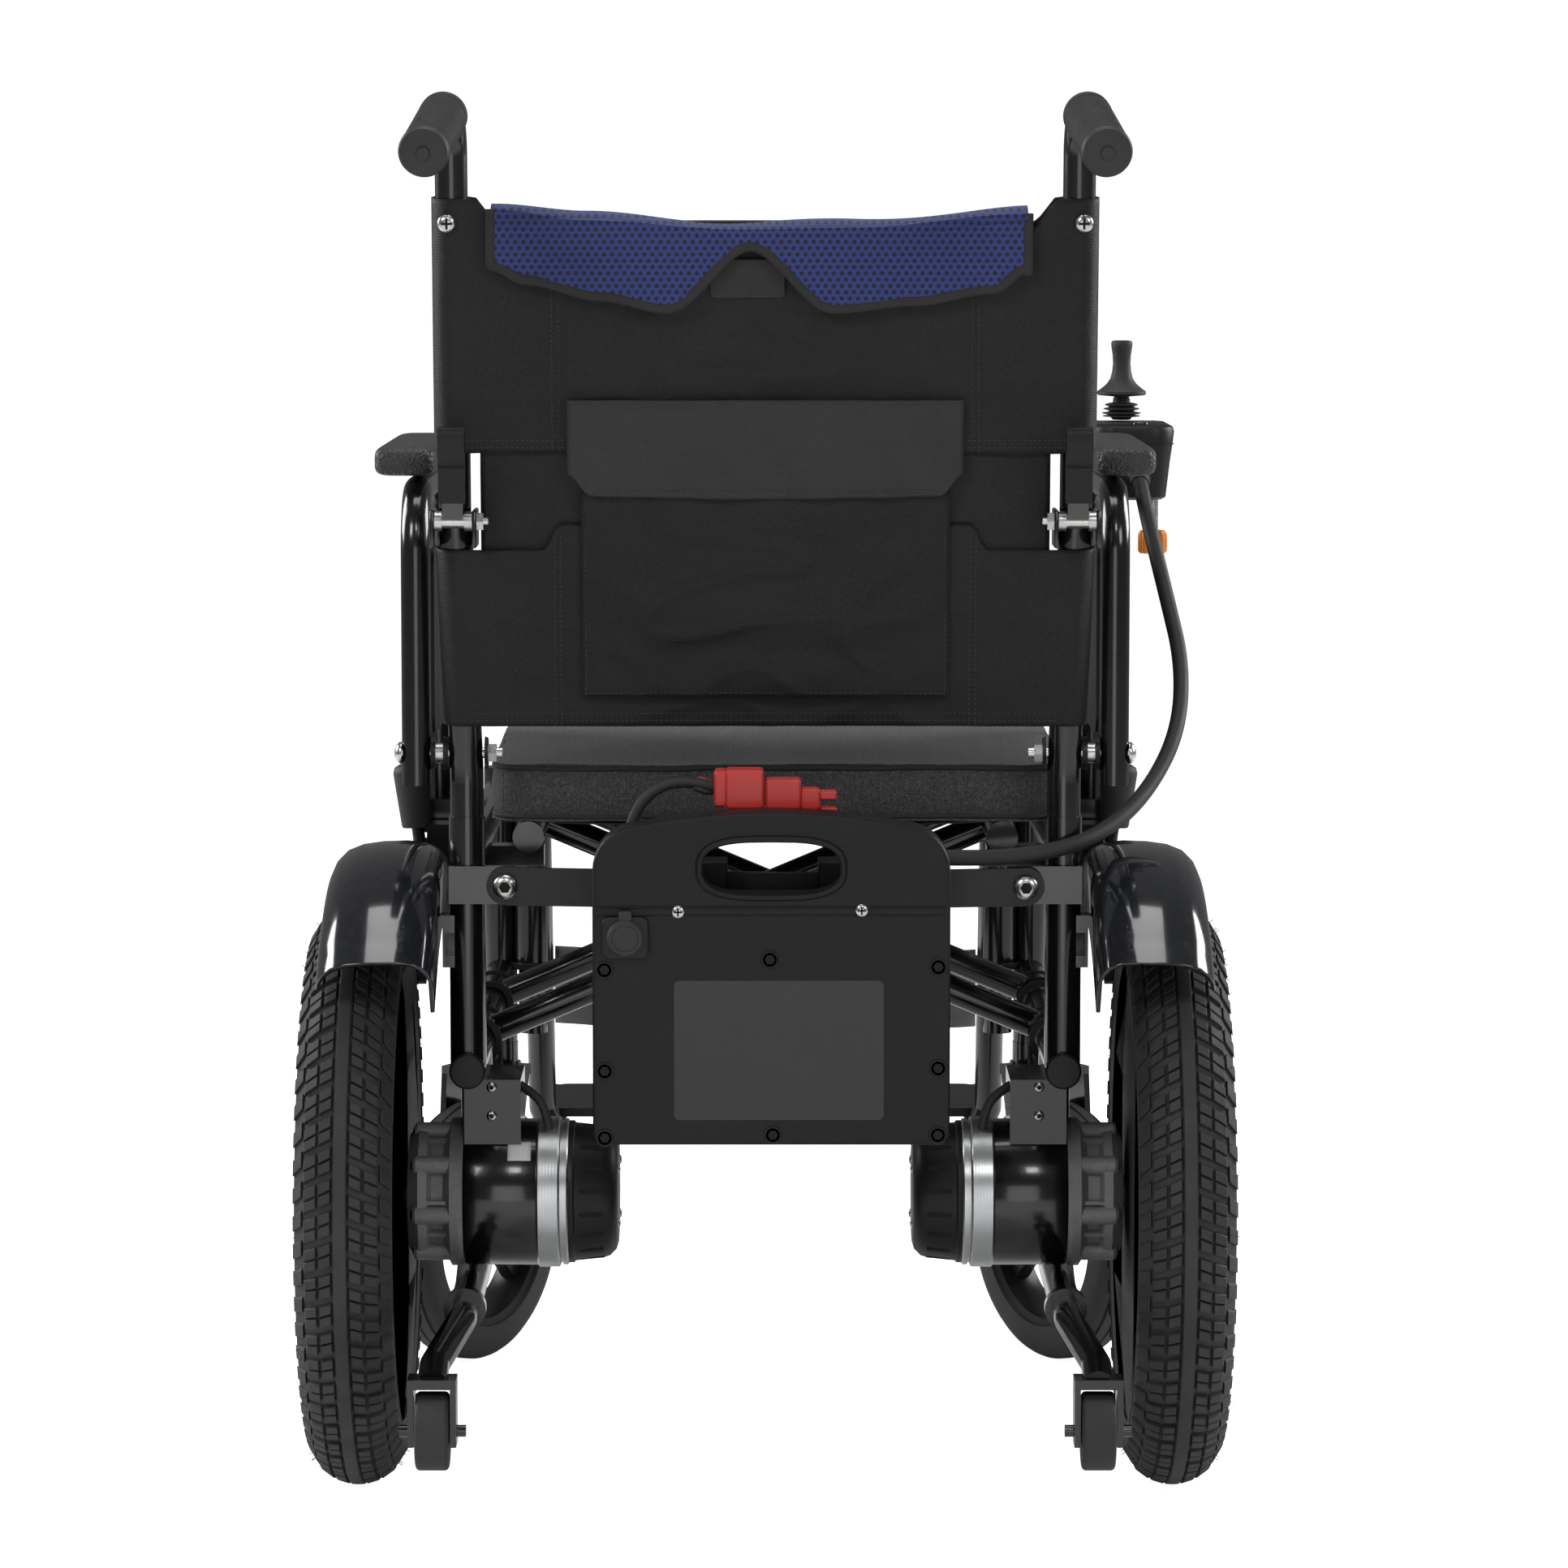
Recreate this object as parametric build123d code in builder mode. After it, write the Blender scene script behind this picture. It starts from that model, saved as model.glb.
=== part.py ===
from build123d import *
import os
from math import cos, pi, radians, sin, sqrt, tan

os.makedirs("parts", exist_ok=True)

# Folding power wheelchair, in millimetres. +X is the user's right, +Y is forward, +Z is up.
# The origin is on the floor, in the middle of the chair's outline.
# Every Y is given from the drive axle, which lies axle_y behind the origin.

# ---- driving dimensions ----
wheel_r = 203.0           # drive wheel with tyre, 16 inch
tyre_width = 65.0
rim_r = 148.0
wheel_x = 282.0           # middle of the drive tyre
wheelbase = 440.0         # drive axle to caster stem
toe_reach = 745.0         # drive axle to the front edge of the footplates
tail_reach = 257.0        # drive axle to the back of the anti-tip wheels
axle_y = (tail_reach - toe_reach) / 2

frame_x = 205.0           # middle of the side frame's tubes
frame_tube_r = 12.5
rail_tube_r = 11.0
lower_rail_z = 295.0
upper_rail_z = 440.0
rear_post_y = axle_y - 30.0
front_post_y = axle_y + wheelbase
front_post_foot_z = 242.0

back_x = 211.0            # upper back posts
back_tube_r = 11.0
back_bend_z = 500.0       # where the back starts to lean
back_lean = 6.0           # degrees
hinge_z = 675.0           # pins that the upper back folds on
post_top = 240.0          # length of an upper post above the hinge
grip_r = 16.5
grip_length = 116.0
grip_droop = 13.0

seat_rail_x = 165.0
seat_rail_r = 11.0
seat_rail_z = 450.0
seat_rail_back = axle_y + 15.0
seat_rail_length = 385.0
sling_thickness = 3.0
cushion_width = 392.0
cushion_depth = 400.0
cushion_height = 39.0
cushion_x = 8.0
cushion_back = axle_y - 8.0

brace_r = 10.0
brace_ys = (axle_y + 120.0, axle_y + 300.0)
brace_step = 23.0         # from one arm of the cross to the other, along Y
brace_sleeve_wall = 4.0
pin_r = 5.0
running = 0.06            # radial clearance of a pin or sleeve that turns
soft_gap = 0.3            # clearance around soft goods and loose seats

battery_x = 4.0
battery_width = 238.0
battery_depth = 100.0
battery_front = axle_y - 66.0
battery_low = 264.0
battery_wall = 4.0
handle_top = 487.0
cover_thickness = 4.0
charge_port_r = 12.0

bar_height = 26.0
bar_thick = 4.6
bar_pivot_x = 178.0
bar_z = 424.0

arm_x = 239.5             # armrest tubes
arm_tube_r = 10.0
arm_pivot_z = 513.5
arm_top_z = 692.0
arm_front = axle_y + 232.0
guard_thick = 1.8
pad_thick = 21.0
pad_width = 43.0
pad_x = 247.5
pad_back = axle_y - 22.0
pad_length = 262.0

motor_r = 51.0
motor_z = wheel_r
gearbox_out = 248.0
gearbox_in = 209.0
motor_in = 134.0
motor_ring = 22.0
motor_cap = 32.0

fender_r = 245.0
fender_out = 300.0
fender_in = 222.0
fender_wall = 3.0
fender_back = 132.0       # degrees, from the front, where the fender ends at the back
fender_front = 48.0

caster_r = 100.0
caster_width = 38.0
caster_trail = 40.0
caster_yaw = 30.0

roller_r = 26.0
roller_width = 22.0
roller_x = 219.0
roller_y = axle_y - 231.0
roller_z = 85.0

hanger_x = 180.0
hanger_tube_r = 11.0
receiver_r = 14.0
footplate_z = 148.0
footplate_length = 126.0
footplate_width = 110.0
footplate_pivot_x = 174.0
brake_y = axle_y + 196.0
brake_z = 408.0


def save(part, name):
    part.label = name
    export_step(part, f"parts/{name}.step")


def tube(route, radius, bend=0):
    # a round bar along a route, added to the part being built
    with BuildLine() as path:
        if bend:
            FilletPolyline(*route, radius=bend)
        else:
            Polyline(*route)
    with BuildSketch(Plane(origin=path.line @ 0, z_dir=path.line % 0)) as section:
        Circle(radius)
    sweep(section.sketch, path=path.line)


def block(low, high):
    # a box between two corners, added to the part being built
    size = [b - a for a, b in zip(low, high)]
    middle = [(a + b) / 2 for a, b in zip(low, high)]
    with Locations(tuple(middle)):
        Box(*size)


# ---- side frames ----
side_name = {-1: "left", 1: "right"}
hinge_y = rear_post_y - tan(radians(back_lean)) * (hinge_z - back_bend_z)
back = Plane(origin=(0, hinge_y, hinge_z), x_dir=(1, 0, 0),
             z_dir=(0, -sin(radians(back_lean)), cos(radians(back_lean))))
receiver_y = front_post_y - 8.0
drop_y = axle_y + motor_r + 26.0
stay_z = motor_z - motor_r - 13.0
collar_y = axle_y - 95.0
stem_r = 6.0


def side_frame(s):
    x = s * frame_x
    with BuildPart() as frame:
        tube([(x, rear_post_y, lower_rail_z), (x, rear_post_y, back_bend_z),
              (s * back_x, hinge_y, hinge_z - 1)], frame_tube_r - 1, bend=120)
        tube([(x, rear_post_y, lower_rail_z), (x, rear_post_y, back_bend_z - 30)], frame_tube_r)
        tube([(x, rear_post_y - 16, lower_rail_z), (x, front_post_y, lower_rail_z)], 12.0)
        tube([(x, rear_post_y, upper_rail_z), (x, front_post_y, upper_rail_z)], rail_tube_r)
        tube([(x, front_post_y, front_post_foot_z), (x, front_post_y, upper_rail_z + 16)], frame_tube_r)
        # legrest receiver, welded beside the front post
        tube([(s * hanger_x, receiver_y, 302), (s * hanger_x, receiver_y, upper_rail_z + 8)], receiver_r)
        # drop tube and stay that carry the anti-tip tube under the motor
        tube([(x, drop_y, lower_rail_z), (x, drop_y, stay_z), (x, collar_y, stay_z)],
             rail_tube_r, bend=22)
        # collar ring of the anti-tip tube
        with BuildSketch(Plane(origin=(x, collar_y - 3, stay_z), z_dir=(0, 1, 0))):
            Circle(rail_tube_r + 3.5)
        extrude(amount=11)
        # motor saddle under the lower rail
        block((min(x + s * 3, x - s * 36), axle_y - 34, motor_z + motor_r - 12),
              (max(x + s * 3, x - s * 36), axle_y + 34, lower_rail_z - 8))
        # cradles that the seat rail rests in
        for cradle_y in (axle_y + 60, axle_y + 340):
            block((min(x, s * (seat_rail_x - 9)), cradle_y, 424),
                  (max(x, s * (seat_rail_x - 9)), cradle_y + 20, seat_rail_z - seat_rail_r - soft_gap))
        # fixed lugs of the folding crossbar, on the back of the post
        block((min(x + s * 12, s * (bar_pivot_x - 13)), rear_post_y - frame_tube_r - bar_thick,
               bar_z - bar_height / 2),
              (max(x + s * 12, s * (bar_pivot_x - 13)), rear_post_y - frame_tube_r + 2,
               bar_z + bar_height / 2))
        # socket of the armrest's front leg
        block((min(x, s * (arm_x + 13)), arm_front - 13, upper_rail_z - 10),
              (max(x, s * (arm_x + 13)), arm_front + 13, upper_rail_z + 14))
        # brake bracket, outside the upper rail
        block((min(x, s * 246), brake_y - 14, brake_z - 14), (max(x, s * 246), brake_y + 14, upper_rail_z))
        # fender bracket
        block((min(x, s * fender_in), rear_post_y - 9, 366), (max(x, s * fender_in), rear_post_y + 9, 402))
        # bores: caster stem, legrest tube, motor, brake pin, crossbar pin
        with BuildSketch(Plane.XY.offset(front_post_foot_z - 5)):
            with Locations((x, front_post_y)):
                Circle(stem_r + running)
        extrude(amount=70, mode=Mode.SUBTRACT)
        with BuildSketch(Plane.XY.offset(280)):
            with Locations((s * hanger_x, receiver_y)):
                Circle(hanger_tube_r + running)
        extrude(amount=200, mode=Mode.SUBTRACT)
        with BuildSketch(Plane.YZ.offset(s * 150)):
            with Locations((axle_y, motor_z)):
                Circle(motor_r + running)
        extrude(amount=s * 110, mode=Mode.SUBTRACT)
        with BuildSketch(Plane.YZ.offset(s * 215)):
            with Locations((brake_y, brake_z)):
                Circle(pin_r + running)
        extrude(amount=s * 40, mode=Mode.SUBTRACT)
        with BuildSketch(Plane.XZ.offset(-(rear_post_y - frame_tube_r + 2))):
            with Locations((s * bar_pivot_x, bar_z)):
                Circle(pin_r + running)
        extrude(amount=20, mode=Mode.SUBTRACT)
        with BuildSketch(Plane.YZ.offset(s * (frame_x - 30))):
            with Locations((rear_post_y, arm_pivot_z)):
                Circle(3.6 + running)
        extrude(amount=s * 60, mode=Mode.SUBTRACT)
    save(frame.part, "side_frame_" + side_name[s])


def swept_post(s):
    droop = radians(grip_droop - back_lean)
    out = 34 + grip_length
    start = back.from_local_coords((s * back_x, 0, 1))
    corner = back.from_local_coords((s * back_x, 0, post_top + 42))
    end = back.from_local_coords((s * (back_x + 9), -out, post_top + 42 - out * tan(droop)))
    return start, corner, end


def upper_back(s):
    start, corner, end = swept_post(s)
    side = side_name[s]
    with BuildPart() as post:
        tube([start, corner, end], back_tube_r, bend=30)
        # hinge block on the back of the post, with the pin's bore
        with BuildSketch(Plane.YZ.offset(s * (back_x - 7))):
            with Locations((hinge_y - 17, hinge_z + 15)):
                Rectangle(30, 27)
        extrude(amount=s * 14)
        with BuildSketch(Plane.YZ.offset(s * (back_x - 20))):
            with Locations((hinge_y - 24, hinge_z)):
                Circle(pin_r + running)
        extrude(amount=s * 40, mode=Mode.SUBTRACT)
    save(post.part, "back_post_" + side)
    along = (end - corner).normalized()
    with BuildPart() as grip:
        with BuildSketch(Plane(origin=end + along * 3, z_dir=-along)):
            Circle(grip_r)
        extrude(amount=grip_length)
        with BuildSketch(Plane(origin=end + along * 0, z_dir=-along)):
            Circle(back_tube_r)
        extrude(amount=grip_length, mode=Mode.SUBTRACT)
        fillet(grip.edges().filter_by(GeomType.CIRCLE).sort_by(Axis.Y)[0], 4)
    save(grip.part, "push_grip_" + side)


def release_lever(s):
    # rocker above the hinge pin, with its thumb tab; it lifts to free the upper back
    lever_y = hinge_y - 39
    with BuildPart() as lever:
        with BuildSketch(Plane.YZ.offset(s * (back_x - 9))):
            with Locations((lever_y, hinge_z + 26)):
                Rectangle(9, 26)
            with Locations((lever_y - 4, hinge_z + 50)):
                Ellipse(7, 15, rotation=14)
        extrude(amount=s * 18)
        with BuildSketch(Plane.YZ.offset(s * (back_x - 12))):
            with Locations((lever_y, hinge_z + 24)):
                Circle(2.5 + running)
        extrude(amount=s * 24, mode=Mode.SUBTRACT)
    save(lever.part, "release_lever_" + side_name[s])


def armrest(s):
    x = s * arm_x
    side = side_name[s]
    with BuildPart() as arm:
        tube([(x, rear_post_y, arm_pivot_z - 22), (x, rear_post_y, arm_top_z),
              (x, arm_front, arm_top_z), (x, arm_front, upper_rail_z + 14.3)], arm_tube_r, bend=42)
        with BuildSketch(Plane.YZ.offset(s * (arm_x - 15))):
            with Locations((rear_post_y, arm_pivot_z)):
                Circle(3.6 + running)
        extrude(amount=s * 30, mode=Mode.SUBTRACT)
    save(arm.part, "armrest_frame_" + side)
    with BuildPart() as pad:
        with BuildSketch(Plane.XY.offset(arm_top_z + arm_tube_r)):
            with Locations((s * pad_x, pad_back + pad_length / 2)):
                RectangleRounded(pad_width, pad_length, 14)
        extrude(amount=pad_thick)
        fillet(pad.faces().sort_by(Axis.Z)[-1].edges(), 7)
    save(pad.part, "armrest_pad_" + side)
    guard_x = s * (arm_x - arm_tube_r)
    with BuildPart() as guard:
        with BuildSketch(Plane.YZ.offset(guard_x)):
            with Locations(((rear_post_y + arm_front) / 2 + 6, 590)):
                RectangleRounded(arm_front - rear_post_y - 18, 132, 14)
        extrude(amount=-s * guard_thick)
    save(guard.part, "skirt_guard_" + side)


def fender(s):
    with BuildPart() as shell:
        with BuildSketch(Plane(origin=(0, axle_y, wheel_r), x_dir=(1, 0, 0), z_dir=(0, -1, 0))):
            with BuildLine():
                Polyline((s * fender_out, fender_r - 20), (s * (fender_out - 12), fender_r),
                         (s * (fender_in + 8), fender_r), (s * fender_in, fender_r - 8),
                         (s * fender_in, fender_r - 52), (s * (fender_in + fender_wall), fender_r - 52),
                         (s * (fender_in + fender_wall), fender_r - 10),
                         (s * (fender_in + 10), fender_r - fender_wall),
                         (s * (fender_out - 13.5), fender_r - fender_wall),
                         (s * (fender_out - fender_wall), fender_r - 20), close=True)
            make_face()
        revolve(axis=Axis((0, axle_y, wheel_r), (1, 0, 0)), revolution_arc=fender_back - fender_front)
    turn = 90 - fender_back
    save(shell.part.rotate(Axis((0, axle_y, wheel_r), (1, 0, 0)), turn), "fender_" + side_name[s])


def drive_unit(s):
    axis = Axis((0, axle_y, motor_z), (1, 0, 0))
    side = side_name[s]
    with BuildPart() as gearbox:
        with BuildSketch(Plane.YZ.offset(s * gearbox_in)):
            with Locations((axle_y, motor_z)):
                Circle(motor_r - 1)
        extrude(amount=s * 16)
        with BuildSketch(Plane.YZ.offset(s * (gearbox_in + 16))):
            with Locations((axle_y, motor_z)):
                Circle(motor_r - 9)
        extrude(amount=s * (gearbox_out - gearbox_in - 16))
        with BuildSketch(Plane.YZ.offset(s * (gearbox_in + 6))):
            with Locations((axle_y, motor_z)):
                with PolarLocations(motor_r - 7, 8):
                    Circle(6.5)
        extrude(amount=s * (gearbox_out - gearbox_in - 10))
        # output shaft that the wheel turns with ends in the hub's bore
        with BuildSketch(Plane.YZ.offset(s * gearbox_out)):
            with Locations((axle_y, motor_z)):
                Circle(8)
        extrude(amount=s * 58)
    save(gearbox.part, "gearbox_" + side)
    with BuildPart() as motor:
        with BuildSketch(Plane.YZ.offset(s * gearbox_in)):
            with Locations((axle_y, motor_z)):
                Circle(motor_r)
        extrude(amount=-s * (gearbox_in - motor_in - motor_ring))
        with BuildSketch(Plane.YZ.offset(s * (motor_in + motor_ring))):
            with Locations((axle_y, motor_z)):
                Circle(motor_r + 1.5)
        extrude(amount=-s * motor_ring * 0.75)
        with BuildSketch(Plane.YZ.offset(s * (motor_in + motor_ring * 0.25))):
            with Locations((axle_y, motor_z)):
                Circle(motor_r - 2)
        extrude(amount=-s * motor_ring * 0.25)
        with BuildSketch(Plane.YZ.offset(s * motor_in)):
            with Locations((axle_y, motor_z)):
                Circle(motor_r - 6)
        extrude(amount=-s * motor_cap, taper=5)
    save(motor.part, "drive_motor_" + side)


def drive_wheel(s):
    side = side_name[s]
    hub_in = gearbox_out + 2
    with BuildPart() as rim:
        with BuildSketch(Plane.YZ.offset(s * (wheel_x - 24))):
            with Locations((axle_y, wheel_r)):
                Circle(rim_r)
                Circle(rim_r - 14, mode=Mode.SUBTRACT)
        extrude(amount=s * 48)
        with BuildSketch(Plane.YZ.offset(s * hub_in)):
            with Locations((axle_y, wheel_r)):
                Circle(30)
        extrude(amount=s * 50)
        with BuildSketch(Plane.YZ.offset(s * (wheel_x - 7))):
            with Locations((axle_y, wheel_r)):
                with PolarLocations((rim_r + 10) / 2, 6):
                    Rectangle(rim_r - 24, 26)
        extrude(amount=s * 14)
        with BuildSketch(Plane.YZ.offset(s * (hub_in - 5))):
            with Locations((axle_y, wheel_r)):
                Circle(8 + running)
        extrude(amount=s * 62, mode=Mode.SUBTRACT)
    save(rim.part, "drive_rim_" + side)
    half = tyre_width / 2
    with BuildPart() as tyre:
        with BuildSketch(Plane(origin=(0, axle_y, wheel_r), x_dir=(1, 0, 0), z_dir=(0, -1, 0))):
            with BuildLine():
                Polyline((s * (wheel_x - 24), rim_r), (s * (wheel_x - half), rim_r + 16),
                         (s * (wheel_x - half), wheel_r - 22))
                ThreePointArc((s * (wheel_x - half), wheel_r - 22), (s * wheel_x, wheel_r),
                              (s * (wheel_x + half), wheel_r - 22))
                Polyline((s * (wheel_x + half), wheel_r - 22), (s * (wheel_x + half), rim_r + 16),
                         (s * (wheel_x + 24), rim_r), (s * (wheel_x - 24), rim_r))
            make_face()
        revolve(axis=Axis((0, axle_y, wheel_r), (1, 0, 0)))
    save(tyre.part, "drive_tyre_" + side)


def caster(s):
    side = side_name[s]
    x = s * frame_x
    yaw = radians(caster_yaw)
    lead = (s * sin(yaw), -cos(yaw))
    cx, cy = x + lead[0] * caster_trail, front_post_y + lead[1] * caster_trail
    # plane across the axle, with its y upwards
    axle = Plane(origin=(cx, cy, caster_r), x_dir=(-s * sin(yaw), cos(yaw), 0),
                 z_dir=(cos(yaw), s * sin(yaw), 0))
    inner = caster_width / 2 + 3
    with BuildPart() as fork:
        with BuildSketch(Plane.XY.offset(218)):
            with Locations((x, front_post_y)):
                Circle(15)
            with Locations(Location((x + lead[0] * 22, front_post_y + lead[1] * 22, 0),
                                    (0, 0, s * caster_yaw))):
                Rectangle(inner * 2 + 10, 44)
        extrude(amount=8)
        with BuildSketch(Plane.XY.offset(226)):
            with Locations((x, front_post_y)):
                Circle(13)
        extrude(amount=front_post_foot_z - 226 - soft_gap)
        with BuildSketch(Plane.XY.offset(222)):
            with Locations((x, front_post_y)):
                Circle(stem_r)
        extrude(amount=80)
        for side_x in (-1, 1):
            with BuildSketch(axle.offset(side_x * inner + (0 if side_x > 0 else -5))):
                with BuildLine():
                    Polyline((38, 120), (-4, 120), (-13, 0), (0, -13), (13, 0), close=True)
                make_face()
            extrude(amount=5)
        with BuildSketch(axle.offset(-inner - 1)):
            Circle(5)
        extrude(amount=inner * 2 + 2)
    save(fork.part, "caster_fork_" + side)
    with BuildPart() as wheel:
        with BuildSketch(axle.offset(-caster_width / 2)):
            Circle(caster_r)
            Circle(5 + running, mode=Mode.SUBTRACT)
        extrude(amount=caster_width)
        fillet(wheel.edges().filter_by(GeomType.CIRCLE).sort_by(SortBy.RADIUS)[-2:], 13)
        for side_x in (-1, 1):
            with BuildSketch(axle.offset(side_x * caster_width / 2)):
                Circle(caster_r - 26)
                Circle(20, mode=Mode.SUBTRACT)
            extrude(amount=-side_x * 12, mode=Mode.SUBTRACT)
    save(wheel.part, "caster_wheel_" + side)


def anti_tip(s):
    side = side_name[s]
    x = s * frame_x
    fork_top = roller_z + roller_r + 7
    with BuildPart() as stay:
        tube([(x, collar_y - 3.3, stay_z), (x, collar_y - 38, stay_z),
              (s * roller_x, roller_y + 24, fork_top + 6), (s * roller_x, roller_y, fork_top - 2)],
             rail_tube_r - 1, bend=14)
        low = (s * roller_x - roller_width / 2 - 5, roller_y - 11, roller_z - 9)
        high = (s * roller_x + roller_width / 2 + 5, roller_y + 11, fork_top + 3)
        block(low, high)
        with Locations((s * roller_x, roller_y, (roller_z - 9 + fork_top - 3.5) / 2)):
            Box(roller_width + 2, 24, fork_top - 3.5 - roller_z + 9, mode=Mode.SUBTRACT)
        with BuildSketch(Plane.YZ.offset(s * roller_x - roller_width / 2 - 11)):
            with Locations((roller_y, roller_z)):
                Circle(4)
        extrude(amount=roller_width + 22)
    save(stay.part, "anti_tip_tube_" + side)
    with BuildPart() as roller:
        with BuildSketch(Plane.YZ.offset(s * roller_x - roller_width / 2)):
            with Locations((roller_y, roller_z)):
                Circle(roller_r)
                Circle(4 + running, mode=Mode.SUBTRACT)
        extrude(amount=roller_width)
        fillet(roller.edges().filter_by(GeomType.CIRCLE).sort_by(SortBy.RADIUS)[-2:], 3)
    save(roller.part, "anti_tip_wheel_" + side)


def brake(s):
    shoe_z = 330.0
    shoe_y = axle_y + sqrt(wheel_r**2 - (shoe_z - wheel_r)**2) + 24
    with BuildPart() as lever:
        # pivot pin and boss outside the bracket
        with BuildSketch(Plane.YZ.offset(s * 232)):
            with Locations((brake_y, brake_z)):
                Circle(pin_r)
        extrude(amount=s * 16)
        with BuildSketch(Plane.YZ.offset(s * 246.3)):
            with Locations((brake_y, brake_z)):
                Circle(12)
        extrude(amount=s * 9)
        tube([(s * 251, brake_y, brake_z), (s * 252, brake_y - 8, 430), (s * 254, brake_y - 10, 446)], 4.5)
        with BuildSketch(Plane(origin=(s * 254, brake_y - 10, 440), z_dir=(s * 0.07, 0, 1))):
            Circle(9.5)
        extrude(amount=42, taper=-4)
        block((min(s * 246.3, s * 255), shoe_y, shoe_z), (max(s * 246.3, s * 255), brake_y, brake_z))
        with BuildSketch(Plane.YZ.offset(s * 247)):
            with Locations((shoe_y, shoe_z)):
                Circle(7)
        extrude(amount=s * 56)
    save(lever.part, "brake_lever_" + side_name[s])


def footrest(s):
    side = side_name[s]
    x = s * hanger_x
    drop = (x, axle_y + 605, footplate_z + 14)
    with BuildPart() as hanger:
        tube([(x, receiver_y, 250), (x, receiver_y, upper_rail_z + 32), (x, axle_y + 505, upper_rail_z + 4),
              drop, (s * footplate_pivot_x, axle_y + 606, footplate_z)], hanger_tube_r, bend=5)
        tube([(s * footplate_pivot_x, axle_y + 604, footplate_z),
              (s * footplate_pivot_x, axle_y + toe_reach - 4, footplate_z)], 7)
    save(hanger.part, "footrest_hanger_" + side)
    plate_y = axle_y + toe_reach - footplate_length / 2
    with BuildPart() as plate:
        with BuildSketch(Plane.XY.offset(footplate_z + 4)):
            with Locations((s * (footplate_pivot_x - footplate_width / 2), plate_y)):
                RectangleRounded(footplate_width, footplate_length, 12)
        extrude(amount=7)
        with BuildSketch(Plane.XZ.offset(-(plate_y - footplate_length / 2 + 6))):
            with Locations((s * footplate_pivot_x, footplate_z)):
                Circle(12)
        extrude(amount=-(footplate_length - 14))
        with BuildSketch(Plane.XZ.offset(-(plate_y - footplate_length))):
            with Locations((s * footplate_pivot_x, footplate_z)):
                Circle(7 + running)
        extrude(amount=-footplate_length * 2, mode=Mode.SUBTRACT)
    save(plate.part, "footplate_" + side)


def fasteners(s):
    # zinc-plated bolts that hold this side's frame together
    x = s * frame_x
    inward = (-s, 0, 0)
    outward = (s, 0, 0)
    with BuildPart() as bolts:
        # armrest pivot: bolt through arm, saddles and post
        with BuildSketch(Plane.YZ.offset(s * (frame_x - 25))):
            with Locations((rear_post_y, arm_pivot_z)):
                Circle(3.6)
        extrude(amount=s * (arm_x + arm_tube_r + 4 - frame_x + 25))
        with BuildSketch(Plane.YZ.offset(s * (arm_x + arm_tube_r))):
            with Locations((rear_post_y, arm_pivot_z)):
                Circle(7.5)
        extrude(amount=s * 5)
        for low, high in ((frame_x + frame_tube_r, arm_x - arm_tube_r),):
            with BuildSketch(Plane.YZ.offset(s * low)):
                with Locations((rear_post_y, arm_pivot_z)):
                    Circle(9)
            extrude(amount=s * (high - low))
        with BuildSketch(Plane.YZ.offset(s * (frame_x - frame_tube_r))):
            with Locations((rear_post_y, arm_pivot_z)):
                Circle(7)
        extrude(amount=-s * 8)
        # fold pin of the upper back, with its spacer and nut
        pin_y = hinge_y - 24
        with BuildSketch(Plane.YZ.offset(s * (back_x - 24))):
            with Locations((pin_y, hinge_z)):
                Circle(pin_r)
        extrude(amount=s * 39.5)
        for near, far in ((back_x - 13, back_x - 7.3), (back_x + 7.3, back_x + 13)):
            with BuildSketch(Plane.YZ.offset(s * near)):
                with Locations((pin_y, hinge_z)):
                    Circle(7)
            extrude(amount=s * (far - near))
        for near in (back_x - 16, back_x + 12.5):
            block((min(s * near, s * (near + 3)), hinge_y - 30, hinge_z - 18),
                  (max(s * near, s * (near + 3)), hinge_y + 4, hinge_z + 6))
    save(bolts.part, "frame_fasteners_" + side_name[s])


for s in (-1, 1):
    side_frame(s)
    upper_back(s)
    release_lever(s)
    armrest(s)
    fender(s)
    drive_unit(s)
    drive_wheel(s)
    caster(s)
    anti_tip(s)
    brake(s)
    footrest(s)
    fasteners(s)


# ---- folding cross and seat ----
centre_z = lower_rail_z + (seat_rail_z - lower_rail_z) * frame_x / (frame_x + seat_rail_x)


def cross_brace(s, step, name):
    # arms that turn on the lower rail of side s and carry the seat rail of the other side
    foot = (s * frame_x, lower_rail_z)
    head = (-s * seat_rail_x, seat_rail_z)
    with BuildPart() as brace:
        for arm_y in brace_ys:
            y = arm_y + step
            tube([(foot[0], y, foot[1]), (head[0], y, head[1])], brace_r)
            with BuildSketch(Plane.XZ.offset(-(y - 16))):
                with Locations(foot):
                    Circle(12 + brace_sleeve_wall)
            extrude(amount=-32)
        tube([(head[0], seat_rail_back, head[1]), (head[0], seat_rail_back + seat_rail_length, head[1])],
             seat_rail_r)
        with BuildSketch(Plane.XZ.offset(-(axle_y - 60))):
            with Locations(foot):
                Circle(12 + running)
        extrude(amount=-wheelbase - 60, mode=Mode.SUBTRACT)
        if step:
            with BuildSketch(Plane.XZ.offset(-axle_y)):
                with Locations((0, centre_z)):
                    Circle(pin_r + running)
            extrude(amount=-wheelbase, mode=Mode.SUBTRACT)
        else:
            for arm_y in brace_ys:
                with BuildSketch(Plane.XZ.offset(-(arm_y + brace_r - 2))):
                    with Locations((0, centre_z)):
                        Circle(pin_r)
                extrude(amount=-(brace_step + brace_r + 3))
    save(brace.part, name)


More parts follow.
